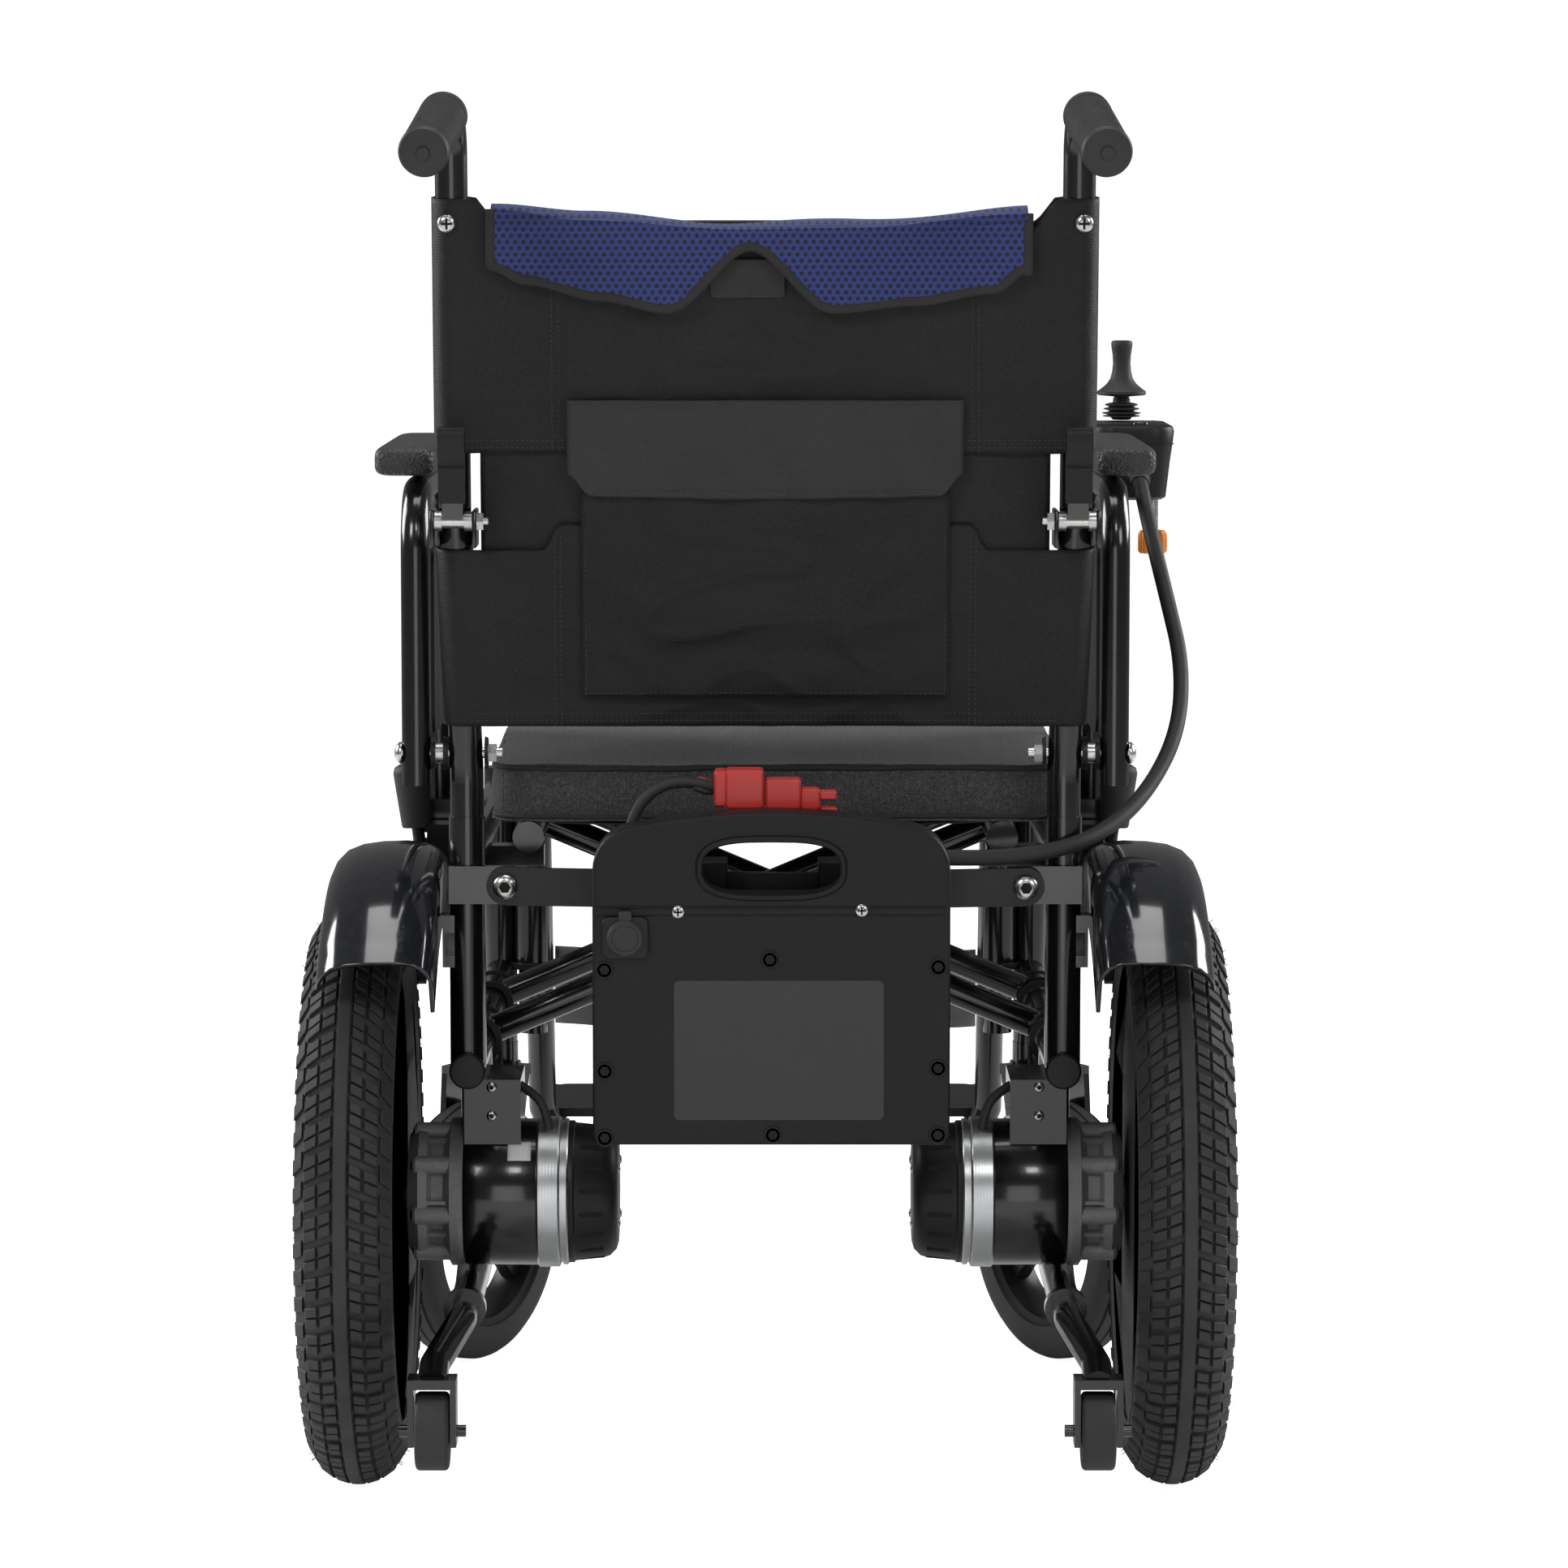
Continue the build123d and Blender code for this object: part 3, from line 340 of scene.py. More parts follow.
dressing = {
    "side_frame": "frame", "back_post": "frame", "push_grip": "rubber", "release_lever": "plastic",
    "armrest_frame": "frame", "armrest_pad": "pad", "skirt_guard": "plastic", "fender": "gloss",
    "gearbox": "cast", "drive_motor": "frame", "drive_rim": "rim", "drive_tyre": "tread",
    "caster_fork": "frame", "caster_wheel": "rubber", "anti_tip_tube": "frame", "anti_tip_wheel": "rubber",
    "brake_lever": "plastic", "footrest_hanger": "frame", "footplate": "plastic", "frame_fasteners": "zinc",
    "cross_brace": "frame", "crossbar": "rim", "seat_sling": "nylon", "seat_cushion": "knit",
    "back_sling_upper": "nylon", "back_sling_lower": "nylon", "mesh_back_pad": "mesh", "calf_strap": "strap",
    "battery_case": "battery", "battery_cover": "battery", "battery_cells": "plastic",
            "battery_lead": "cable",
    "power_connector": "red", "controller_housing": "plastic", "joystick": "plastic",
            "joystick_cable": "cable",
    "power_button": "gloss", "joystick_boot": "rubber",
}
for name in nodes:
    dress(name, dressing[name.replace("_left", "").replace("_right", "")])


# the camera, the floor and the lights
camera = {"lens": 125.63, "height": 0.8867, "behind": 3.7690, "tilt": 6.026, "shift": 0.0119}
studioLight = {"room": 0.13, "backdrop": 1.1, "floor": 0.93}
# name, place, size and power
lamps = [("key", (-1.7, -2.5, 2.4), 0.9, 26),
         ("fill", (2.2, -2.5, 1.9), 1.1, 17),
         ("left rim", (-2.3, 0.7, 1.5), 1.3, 42),
         ("right rim", (2.3, 0.9, 1.5), 1.3, 42),
         ("top", (0, 0.1, 3.0), 1.6, 26),
         ("low", (0, -3.0, 0.5), 1.2, 6),
         ("ring light", (0.5, -3.6, 3.4), 0.7, 16)]


def placeCamera():
    eye = bpy.data.objects.new("camera", bpy.data.cameras.new("camera"))
    bpy.context.scene.collection.objects.link(eye)
    eye.data.lens = camera["lens"]
    eye.data.shift_x = camera["shift"]
    eye.location = (0, axleY - camera["behind"], camera["height"])
    eye.rotation_euler = (math.radians(90 - camera["tilt"]), 0, 0)
    bpy.context.scene.camera = eye


def studio():
    world = bpy.data.worlds.new("studio")
    bpy.context.scene.world = world
    bpy.context.scene.view_settings.view_transform = "Standard"
    world.use_nodes = True
    sky = world.node_tree.nodes["Background"]
    ray = world.node_tree.nodes.new("ShaderNodeLightPath")
    level = world.node_tree.nodes.new("ShaderNodeMapRange")
    level.inputs[3].default_value = studioLight["room"]
    level.inputs[4].default_value = studioLight["backdrop"]
    world.node_tree.links.new(ray.outputs["Is Camera Ray"], level.inputs[0])
    world.node_tree.links.new(level.outputs[0], sky.inputs[1])
    sky.inputs[0].default_value = (1, 1, 1, 1)
    for name, at, size, power in lamps:
        lamp = bpy.data.objects.new(name, bpy.data.lights.new(name, "AREA"))
        bpy.context.scene.collection.objects.link(lamp)
        lamp.data.size = size
        lamp.data.energy = power
        lamp.location = at
        lamp.rotation_euler = (Vector((0, 0, 0.5)) - Vector(at)).to_track_quat("-Z", "Y").to_euler()


def paleFloor():
    # glows for the camera alone, so it lights nothing from below
    tone, rough = (0.93, 0.93, 0.93), 0.7
    pale = Finish("pale floor", tone, rough)
    glow = pale.add("ShaderNodeBsdfPrincipled", {}, {
        "Base Color": (*tone, 1), "Roughness": rough, "Emission Color": (1, 1, 1, 1),
        "Emission Strength": studioLight["floor"]})
    seen = pale.add("ShaderNodeLightPath")
    plain = Wire(pale, pale.shader.outputs[0])
    mixed = pale.add("ShaderNodeMixShader", {}, {0: seen, 1: plain, 2: glow})
    pale.tree.links.new(mixed.socket, pale.tree.nodes["Material Output"].inputs["Surface"])
    return pale.material


def floorPlane():
    half = 40.0
    corners = [(-half, -half, 0), (half, -half, 0), (half, half, 0), (-half, half, 0)]
    mesh = bpy.data.meshes.new("floor")
    mesh.from_pydata(corners, [], [(0, 1, 2, 3)])
    mesh.materials.append(paleFloor())
    ground = bpy.data.objects.new("floor", mesh)
    bpy.context.scene.collection.objects.link(ground)


placeCamera()
studio()
floorPlane()
print("camera and studio")


# shapes, in millimetres
def piece(name, mesh, key, body, angle=40):
    thing = bpy.data.objects.new(name, mesh)
    bpy.context.scene.collection.objects.link(thing)
    mesh.materials.append(finish[key].material)
    mesh.polygons.foreach_set("use_smooth", [True] * len(mesh.polygons))
    mesh.set_sharp_from_angle(angle=math.radians(angle))
    if body:
        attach(thing, body)
    return thing


def rounded(thing, width, segments=2):
    edge = thing.modifiers.new("edges", "BEVEL")
    edge.width = width * mm
    edge.segments = segments
    edge.limit_method = "ANGLE"
    edge.angle_limit = math.radians(35)
    return thing


def thicken(thing, thick, offset=0):
    # turns a surface into a sheet of cloth
    layer = thing.modifiers.new("thickness", "SOLIDIFY")
    layer.thickness = thick * mm
    layer.offset = offset
    return thing


def extent(name):
    # a part's low and high corner in millimetres
    low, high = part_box(name)
    return low / mm, high / mm


def meshOf(name, points, faces):
    mesh = bpy.data.meshes.new(name)
    mesh.from_pydata([Vector(p) * mm for p in points], [], faces)
    shape = bmesh.new()
    shape.from_mesh(mesh)
    bmesh.ops.recalc_face_normals(shape, faces=shape.faces)
    shape.to_mesh(mesh)
    shape.free()
    return mesh


def bands(rings, closed=True, caps=True):
    # joins rings of equal length into faces
    count = len(rings[0])
    points = [p for ring in rings for p in ring]
    faces = []
    for row in range(len(rings) - 1):
        for i in range(count if closed else count - 1):
            j = (i + 1) % count
            a, b = row * count, (row + 1) * count
            faces.append((a + i, a + j, b + j, b + i))
    if caps:
        faces.append(tuple(range(count)))
        faces.append(tuple(range((len(rings) - 1) * count, len(rings) * count)))
    return points, faces


def lathe(name, at, axis, profile, key, body, steps=48, angle=35, loop=False):
    turn = Vector(axis).to_track_quat("Z", "Y").to_matrix()
    rings = []
    for along, radius in profile:
        ring = []
        for i in range(steps):
            a = math.tau * i / steps
            ring.append(Vector(at) + turn @ Vector((radius * math.cos(a), radius * math.sin(a), along)))
        rings.append(ring)
    if loop:
        rings.append(rings[0])
    points, faces = bands(rings, caps=not loop)
    return piece(name, meshOf(name, points, faces), key, body, angle)


def slab(name, outline, near, far, axis, key, body, bevel=0.8, segments=2, holes=()):
    # a flat outline pushed from near to far along an axis
    def lift(pair, depth):
        spots = {"x": (depth, pair[0], pair[1]), "y": (pair[0], depth, pair[1]), "z": (pair[0], pair[1],
                                                                                       depth)}
        return Vector(spots[axis]) * mm
    shape = bmesh.new()
    base = [shape.verts.new(lift(pair, near)) for pair in outline]
    edges = [shape.edges.new((a, b)) for a, b in zip(base, base[1:] + base[:1])]
    for hole in holes:
        ring = [shape.verts.new(lift(pair, near)) for pair in hole]
        edges += [shape.edges.new((a, b)) for a, b in zip(ring, ring[1:] + ring[:1])]
    made = bmesh.ops.triangle_fill(shape, edges=edges, use_beauty=True, use_dissolve=True)
    flat = [f for f in made["geom"] if isinstance(f, bmesh.types.BMFace)]
    if not holes and len(flat) > 1:
        bmesh.ops.dissolve_faces(shape, faces=flat)
    pushed = bmesh.ops.extrude_face_region(shape, geom=list(shape.faces))
    moved = [v for v in pushed["geom"] if isinstance(v, bmesh.types.BMVert)]
    bmesh.ops.translate(shape, verts=moved, vec=lift((0, 0), far - near))
    bmesh.ops.recalc_face_normals(shape, faces=shape.faces)
    mesh = bpy.data.meshes.new(name)
    shape.to_mesh(mesh)
    shape.free()
    thing = piece(name, mesh, key, body)
    return rounded(thing, bevel, segments) if bevel else thing


def roundRect(cx, cy, width, height, radius, steps=6):
    spots = []
    for sx, sy, start in ((1, 1, 0), (-1, 1, 90), (-1, -1, 180), (1, -1, 270)):
        for i in range(steps + 1):
            a = math.radians(start + 90 * i / steps)
            spots.append((cx + sx * (width / 2 - radius) + radius * math.cos(a),
                          cy + sy * (height / 2 - radius) + radius * math.sin(a)))
    return spots


def block(name, low, high, key, body, bevel=0.8):
    outline = [(low[0], low[2]), (high[0], low[2]), (high[0], high[2]), (low[0], high[2])]
    return slab(name, outline, low[1], high[1], "y", key, body, bevel)


def spline(points):
    # the smooth line through a route of control points, in metres
    curve = bpy.data.curves.new("route", "CURVE")
    curve.dimensions = "3D"
    line = curve.splines.new("NURBS")
    line.points.add(len(points) - 1)
    for spot, point in zip(line.points, points):
        spot.co = (*point, 1)
    line.order_u = 3
    line.use_endpoint_u = True
    line.resolution_u = 14
    thing = bpy.data.objects.new("route", curve)
    bpy.context.scene.collection.objects.link(thing)
    mesh = bpy.data.meshes.new_from_object(thing)
    path = [v.co.copy() for v in mesh.vertices]
    bpy.data.objects.remove(thing)
    return path


def swept(name, path, radius, key, body, sides=16, flat=1.0, hint=None, wave=None):
    # a tube along a path in metres, round or flattened against the hint direction
    rings = []
    across = None
    for i, spot in enumerate(path):
        ahead = (path[min(i + 1, len(path) - 1)] - path[max(i - 1, 0)]).normalized()
        if hint is not None:
            across = ahead.cross(Vector(hint)).normalized()
        elif across is None:
            across = ahead.orthogonal().normalized()
        else:
            across = (across - ahead * across.dot(ahead)).normalized()
        other = ahead.cross(across)
        r = (wave(i) if wave else radius) * mm
        rings.append([(spot + across * r * math.cos(a) + other * r * flat * math.sin(a)) / mm
                      for a in (math.tau * k / sides for k in range(sides))])
    points, faces = bands(rings)
    return piece(name, meshOf(name, points, faces), key, body, 50)


def join(name, things):
    for thing in things:
        for step in list(thing.modifiers):
            with bpy.context.temp_override(object=thing, active_object=thing, selected_objects=[thing]):
                bpy.ops.object.modifier_apply(modifier=step.name)
    with bpy.context.temp_override(active_object=things[0], object=things[0], selected_objects=things,
                                   selected_editable_objects=things):
        bpy.ops.object.join()
    things[0].name = name
    return things[0]


def screw(name, at, axis, radius, body, kind="cross", key="zinc", height=None):
    # a pan head with a cross, or a cap with a hexagon socket
    tall = height or radius * 0.55
    at, axis = Vector(at), Vector(axis).normalized()
    dome = [(-0.6, radius * 0.9), (0, radius), (tall * 0.35, radius), (tall * 0.75, radius * 0.82),
            (tall, radius * 0.5), (tall * 1.02, radius * 0.02)]
    if kind == "hex":
        head = lathe(name, at, axis, [(-0.6, radius), (0, radius), (tall * 0.8, radius),
                                      (tall, radius * 0.86),
                                      (tall, radius * 0.02)], key, body, 6, 20)
        return rounded(head, 0.3)
    parts = [lathe(name, at, axis, dome, key, body, 24, 60)]
    # the cross slot and the hexagon socket are near-black blocks in the head: painted shade of the recess
    if kind == "cross":
        turn = axis.to_track_quat("Z", "Y").to_matrix()
        for wide, long in ((radius * 0.13, radius * 0.6), (radius * 0.6, radius * 0.13)):
            corners = [at + turn @ Vector((x * wide, y * long, z)) for z in (tall * 0.7, tall * 1.06)
                       for x, y in ((-1, -1), (1, -1), (1, 1), (-1, 1))]
            mesh = meshOf("slot", corners, [(0, 1, 2, 3), (4, 5, 6, 7), (0, 1, 5, 4), (1, 2, 6, 5),
                                            (2, 3, 7, 6), (3, 0, 4, 7)])
            parts.append(piece("slot", mesh, "void", body))
    else:
        parts.append(lathe("socket", at, axis, [(tall * 0.5, radius * 0.5), (tall * 1.04, radius * 0.5)],
                           "void", body, 6, 20))
    return join(name, parts)


# the two cords
front = axleY / mm - 66.0
axle = axleY / mm
leadRoute = [(-92, front - 56, 466), (-88, front - 54, 484), (-72, front - 53, 500), (-52, front - 52, 504),
             (-33.5, front - 52, 499)]
cableRoute = [(274, axle + 244, 688), (274, axle + 212, 680), (280, axle + 190, 648), (289, axle + 160, 606),
              (297, axle + 115, 563), (291, axle + 64, 520), (268, axle + 18, 484), (238, axle - 26, 461),
              (205, axle - 55, 450), (165, axle - 60, 445), (130, axle - 58, 444), (102, axle - 59, 445)]


def cords():
    out = []
    for name, route, radius, body, key in (("battery_lead_cord", leadRoute, 4.0, "battery", "cable"),
                                           ("controller_cord", cableRoute, 5.5, None, "cable")):
        path = spline([Vector(p) * mm for p in route])
        length = sum((b - a).length for a, b in zip(path, path[1:]))
        cord = swept(name, path, radius, key, body, 20)
        out.append((cord, path, length))
    lead, cable = out
    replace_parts(lead[0], "battery_lead")
    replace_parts(cable[0], "joystick_cable")
    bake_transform(cable[0])
    print("cords", [round(c[2], 3) for c in out])


cords()


# the back upholstery, in the plane of the leaning back
lean = math.radians(6)
hingeY = axle - 30 - math.tan(lean) * 175


def backSpot(x, y, z):
    return Vector((x, hingeY + y * math.cos(lean) - z * math.sin(lean),
                   675 + y * math.sin(lean) + z * math.cos(lean)))


def between(keys, x):
    # smooth value between key points
    for (a, p), (b, q) in zip(keys, keys[1:]):
        if x <= b:
            t = max(0.0, min(1.0, (x - a) / (b - a)))
            return p + (q - p) * (t * t * (3 - 2 * t))
    return keys[-1][1]


def ripple(x, z, seed, fine=1.0):
    # creases that run mostly across the cloth
    broad = noise.noise(Vector((x * 0.006, z * 0.022, seed)))
    small = noise.noise(Vector((x * 0.02, z * 0.05, seed + 9)))
    crease = 1 - abs(noise.noise(Vector((x * 0.011, z * 0.03, seed + 20)))) * 2
    return broad * 2.6 * fine + small * 0.9 * fine - max(0, crease) ** 4 * 1.5 * fine


def curtain(name, xs, low, high, face, key, body, thick=1.3, rows=40):
    # a sheet given by its lower edge, upper edge and the depth of its face
    grid = []
    for row in range(rows + 1):
        t = row / rows
        grid.append([backSpot(x, face(x, low(x) + (high(x) - low(x)) * t), low(x) + (high(x) - low(x)) * t)
                     for x in xs])
    points, faces = bands(grid, closed=False, caps=False)
    sheet = piece(name, meshOf(name, points, faces), key, body, 60)
    return thicken(sheet, thick)


def ribbon(name, spots, width, thick, key, body):
    path = [backSpot(*s) * mm for s in spots]
    return swept(name, path, width / 2, key, body, 12, thick / width, hint=(0, -1, 0))


def stitching(name, spots, body, pitch=3.4, radius=0.34):
    # short raised threads along a line of points in the back's plane
    path = [backSpot(*spot) for spot in spots]
    faces, points = [], []
    carried = 0.0
    for a, b in zip(path, path[1:]):
        run = (b - a).length
        while carried < run:
            mid = a.lerp(b, carried / run)
            ahead = (b - a).normalized()
            side = ahead.cross(Vector((0, -1, 0))).normalized()
            out = side.cross(ahead)
            base = len(points)
            for along, scale in ((-1.05, 0.4), (-0.6, 1.0), (0.6, 1.0), (1.05, 0.4)):
                for u, v in ((1, 0), (0, 1), (-1, 0), (0, -1)):
                    points.append(mid + ahead * along + (side * u + out * v) * radius * scale)
            for row in range(3):
                for i in range(4):
                    j = (i + 1) % 4
                    faces.append((base + row * 4 + i, base + row * 4 + j, base + row * 4 + 4 + j,
                                  base + row * 4 + 4 + i))
            carried += pitch
        carried -= run
    return piece(name, meshOf(name, points, faces), "thread", body, 80)


def spread(low, high, step):
    count = max(2, int((high - low) / step))
    return [low + (high - low) * i / count for i in range(count + 1)]


upperSling = {"low": 47, "high": 196, "sleeve": 219, "seams": (144.0, 139.5), "depth": -12.6}
flapEdge = [(-184, 174), (-160, 164), (-110, 153), (-66, 145), (-10, 187), (46, 145), (100, 150), (152, 158),
            (176, 172)]
flapTop = [(-184, 213), (-120, 206), (-20, 200), (60, 201), (176, 210)]


def upperFace(x, z):
    # rear face of the upper sling, dented along its seams
    edge = max(0.0, 1 - abs(x) / 205) ** 0.7
    dent = sum(math.exp(-((abs(x) - s) / 1.5) ** 2) for s in upperSling["seams"]) * 0.55
    return upperSling["depth"] + edge * (2.2 + ripple(x, z, 3.0, 1.1)) + dent + ripple(x * 2, z, 8.0, 0.3)


def flapCrease(x, z):
    # soft upright folds that open towards the lower edge
    opening = 1 - max(0, min(1, (z - 18) / 66))
    fold = noise.noise(Vector((x * 0.028 + z * 0.012, z * 0.006, 44.0)))
    return fold * (1.2 + 3.2 * opening) - 0.8 * opening + ripple(x * 1.2, z * 1.3, 45.0, 0.35)


def tabFoot(x):
    return between([(0, -4), (138, -4), (146, -26), (200, -26)], abs(x))


def slings():
    body = "back_left"
    # closed loop of cloth around each post, seen as a flat tube
    xs = spread(-211, 211, 3.2)
    section = []
    for s in (-1, 1):
        side = []
        for i in range(19):
            a = math.radians(-90 + 200 * i / 18)
            side.append((s * (211 + 13.0 * math.cos(a)), 13.0 * math.sin(a)))
        side += [(s * (205 - 10 * i), 12.2 - 3.9 * i) for i in range(1, 7)]
        section.append(side)
    loop = list(reversed(section[0])) + [(x, None) for x in xs[1:-1]] + section[1]
    rows = 44
    grid = []
    for row in range(rows + 1):
        ring = []
        for x, y in loop:
            top = between([(0, 196), (176, 198), (198, 219), (260, 219)], abs(x))
            low = 47 + (0.8 * math.sin(x * 0.03))
            z = low + (top - low) * row / rows
            soft = ripple(x + (y or 0), z, 14.0, 0.28)
            ring.append(backSpot(x, upperFace(x, z) if y is None else y + soft * (1 if y > -12 else 0.3), z))
        grid.append(ring)
    points, faces = bands(grid, closed=False, caps=False)
    cloth = piece("upper_sling_cloth", meshOf("upper", points, faces), "nylon", body, 60)
    thicken(cloth, 1.2)
    tab = curtain("upper_tab", spread(-193, 193, 4), tabFoot,
                  lambda x: 62, lambda x, z: -9.4 + ripple(x, z, 31.0, 0.5), "nylon", body)
    flap = curtain("pocket_flap", spread(-134, 134, 3),
                   lambda x: 18 + between([(0, 0), (118, 0), (134, 15)], abs(x)) - 1.2 * math.cos(x * 0.02),
                   lambda x: 84, lambda x, z: -16.6 - 2.6 * (1 - ((z - 18) / 66) ** 2) * (1 - (x / 150) ** 4)
                   + flapCrease(x, z), "greyNylon", body, 1.0)
    join("upper_sling_cloth", [cloth, tab])
    threads = [stitching("t", [(s * seam, upperFace(s * seam, z) - 0.95, z) for z in spread(49, 195, 3)],
                         body)
               for s in (-1, 1) for seam in upperSling["seams"]]
    threads += [stitching("t", [(x, upperFace(x, z) - 0.95, z) for x in spread(-205, 205, 4)], body)
                for z in (51, 56)]
    threads += [stitching("t", [(x, -17.5 + flapCrease(x, 81), 81)
                                for x in spread(-131, 131, 3)], body)]
    threads.append(stitching("t", [(x, -20.1 + flapCrease(x, 22.5), 22.5)
                                   for x in spread(-114, 114, 3)], body))
    seams = join("upper_sling_stitching", threads)
    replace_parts(cloth, "back_sling_upper")
    return [cloth, flap, seams]


def lowerFace(x, z):
    edge = max(0.0, 1 - abs(x) / 200) ** 0.7
    return -13.0 + edge * (2.0 + ripple(x, z, 51.0, 1.3)) + ripple(x * 2, z, 57.0, 0.25)


def postX(z):
    return 205 + 6 * (z + 175) / 175


def pocketFace(x, z):
    # bulges in the middle and stays flat at its sewn edges
    across = x / 126
    bulge = 3.0 * (1 - across ** 4) * math.sin(math.pi * (z + 124) / 160) ** 0.6
    return -14.8 - bulge + ripple(x * 1.1, z, 71.0, 1.7) * (1 - across ** 6) * max(0.1,
                                                                                   min(1, (14 - z) / 30))


def lowerSling():
    body = "left_frame"
    rows = 44
    angles = [math.radians(-90 + 200 * i / 18) for i in range(19)]
    xs = spread(-1, 1, 0.016)
    grid = []
    for row in range(rows + 1):
        t = row / rows
        ring = []
        z = -141 + (-19 + 141) * t
        for a in reversed(angles):
            ring.append(backSpot(-postX(z) - 13.6 * math.cos(a),
                                 13.6 * math.sin(a) + ripple(a * 12, z, 61.0, 0.2), z))
        for u in xs[1:-1]:
            x = u * postX(z)
            lift = between([(0, 17.5), (140, 17.5), (150, 0), (220, 0)], abs(x)) * t
            ring.append(backSpot(x, lowerFace(x, z + lift), z + lift))
        for a in angles:
            ring.append(backSpot(postX(z) + 13.6 * math.cos(a),
                                 13.6 * math.sin(a) + ripple(a * 12, z, 67.0, 0.2), z))
        grid.append(ring)
    points, faces = bands(grid, closed=False, caps=False)
    cloth = piece("lower_sling_cloth", meshOf("lower", points, faces), "nylon", body, 60)
    thicken(cloth, 1.2)
    pocket = curtain("back_pocket", spread(-125, 125, 3.2), lambda x: -120, lambda x: 21, pocketFace,
                     "nylon", body, 1.1)
    threads = []
    for s in (-1, 1):
        threads.append(stitching("t", [(s * 122, -15.7 + ripple(s * 134.2, z, 71.0, 0.7) * 0.18, z)
                                       for z in spread(-118, -5, 3)], body))
        threads += [stitching("t", [(s * seam, lowerFace(s * seam, z) - 0.95, z) for z in spread(-139, -8,
                                                                                                 3)],
                              body) for seam in (143.0, 139.0)]
    threads.append(stitching("t", [(x, -16.6 + ripple(x * 1.1, -117, 71.0, 0.7) - 1.2, -117)
                                   for x in spread(-122, 122, 3)], body))
    threads += [stitching("t", [(x, lowerFace(x, z) - 0.95, z) for x in spread(-200, 200, 4)], body)
                for z in (-137, -132)]
    seams = join("lower_sling_stitching", threads)
    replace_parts(cloth, "back_sling_lower")
    return [cloth, pocket, seams]


def meshPad():
    body = "back_left"

    def faceY(x, z):
        bow = -1.2 * math.sin((x + 60) * 0.021) + ripple(x, z, 81.0, 0.7)
        return -19.0 - 2.0 * between([(145, 1.0), (203, 0.0)], z) + bow
    xs = spread(-184, 176, 2.6)
    flap = curtain("mesh_flap", xs, lambda x: between(flapEdge, x), lambda x: between(flapTop, x), faceY,
                   "mesh",
                   body, 2.6, 24)
    outline = [(x, faceY(x, between(flapEdge, x)) - 0.3, between(flapEdge, x) + 1.5) for x in xs]
    sides = [(176, faceY(176, z) - 0.3, z) for z in spread(169, 210, 4)]
    left = [(-184, faceY(-184, z) - 0.3, z) for z in reversed(spread(175, 213, 4))]
    edging = ribbon("mesh_flap_binding", left + outline + sides, 7.0, 3.8, "binding", body)
    count = 30
    grid = []
    for row in range(count + 1):
        z = 4 + 199 * row / count
        ring = []
        for k in range(64):
            a = math.tau * k / 64
            cx = math.copysign(abs(math.cos(a)) ** 0.28, math.cos(a)) * 181
            cy = math.copysign(abs(math.sin(a)) ** 0.5, math.sin(a)) * 10.5
            puff = 1 - 0.5 * abs(2 * row / count - 1) ** 8
            ring.append(backSpot(cx, 0.6 + cy * puff + ripple(cx, z, 91.0, 0.4) * 0.5, z))
        grid.append(ring)
    points, faces = bands(grid)
    cushion = piece("mesh_back_cushion", meshOf("pad", points, faces), "mesh", body, 60)
    over = []
    for i in range(9):
        a = math.radians(20 + 160 * i / 8)
        over.append([backSpot(x, -3.5 + 15.5 * math.cos(a),
                              between(flapTop, x) - 5 + 6.5 * math.sin(a) + 1.2 * math.sin(x * 0.04))
                     for x in xs])
    points, faces = bands(over, closed=False, caps=False)
    roll = piece("mesh_over_top", meshOf("roll", points, faces), "mesh", body, 60)
    thicken(roll, 3)
    patch = slab("hook_patch", roundRect(-12, 166, 50, 26, 3), -1, 1, "y", "binding", body, 0.4)
    for vert in patch.data.vertices:
        x, y, z = vert.co / mm
        vert.co = backSpot(x, -14.8 + y * 0.8, z) * mm
    cushion.data.materials.append(finish["nylon"].material)
    for face in cushion.data.polygons:
        local = (face.center.y / mm - hingeY) * math.cos(lean) + (face.center.z / mm - 675) * math.sin(lean)
        face.material_index = 1 if local < 3 else 0
    cushion = join("mesh_back_cushion", [cushion, roll])
    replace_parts(cushion, "mesh_back_pad")
    return [flap, edging, cushion, patch]


upholstery = slings() + meshPad() + lowerSling()
for cloth in upholstery:
    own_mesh(cloth)
print("back upholstery", len(upholstery))


# the seat's stuffed pad and piping, the cloth under it and the strap behind the calves
seat = {"cuts": 46, "corner": 26, "pull": 0.72, "crown": 2.5, "piping": 2.0, "hem": 4.5, "sag": 5.5,
        "rail": 158, "keep": 0.65}


def seatSpot(u, v, w, half):
    # where a point of the unit cube goes on the stuffed pad
    edge = max(abs(u), abs(v))
    x, y = u * half.x, v * half.y
    overX = max(0, abs(x) - half.x + seat["corner"])
    overY = max(0, abs(y) - half.y + seat["corner"])
    corner = max(0.0, math.hypot(overX, overY) - seat["corner"])
    if corner:
        x -= math.copysign(corner * seat["pull"], x)
        y -= math.copysign(corner * seat["pull"], y)
    crown = (1 - abs(u) ** 3) * (1 - abs(v) ** 3)
    z = w * half.z + (seat["crown"] * crown if w > 0.98 else 0)
    puff = (1 - w * w) * 2.2 - (abs(w) ** 8) * 2.5
    if abs(u) > 0.97:
        x += math.copysign(puff, u)
    if abs(v) > 0.97:
        y += math.copysign(puff, v)
    drape = noise.noise(Vector((x * 0.014, y * 0.014, z * 0.03))) * 1.6
    tuck = noise.noise(Vector((x * 0.05, y * 0.05, z * 0.02 + 5))) * 0.9 * max(0, edge - 0.8) * 4
    return Vector((x, y, z + drape * (w > 0) + tuck))


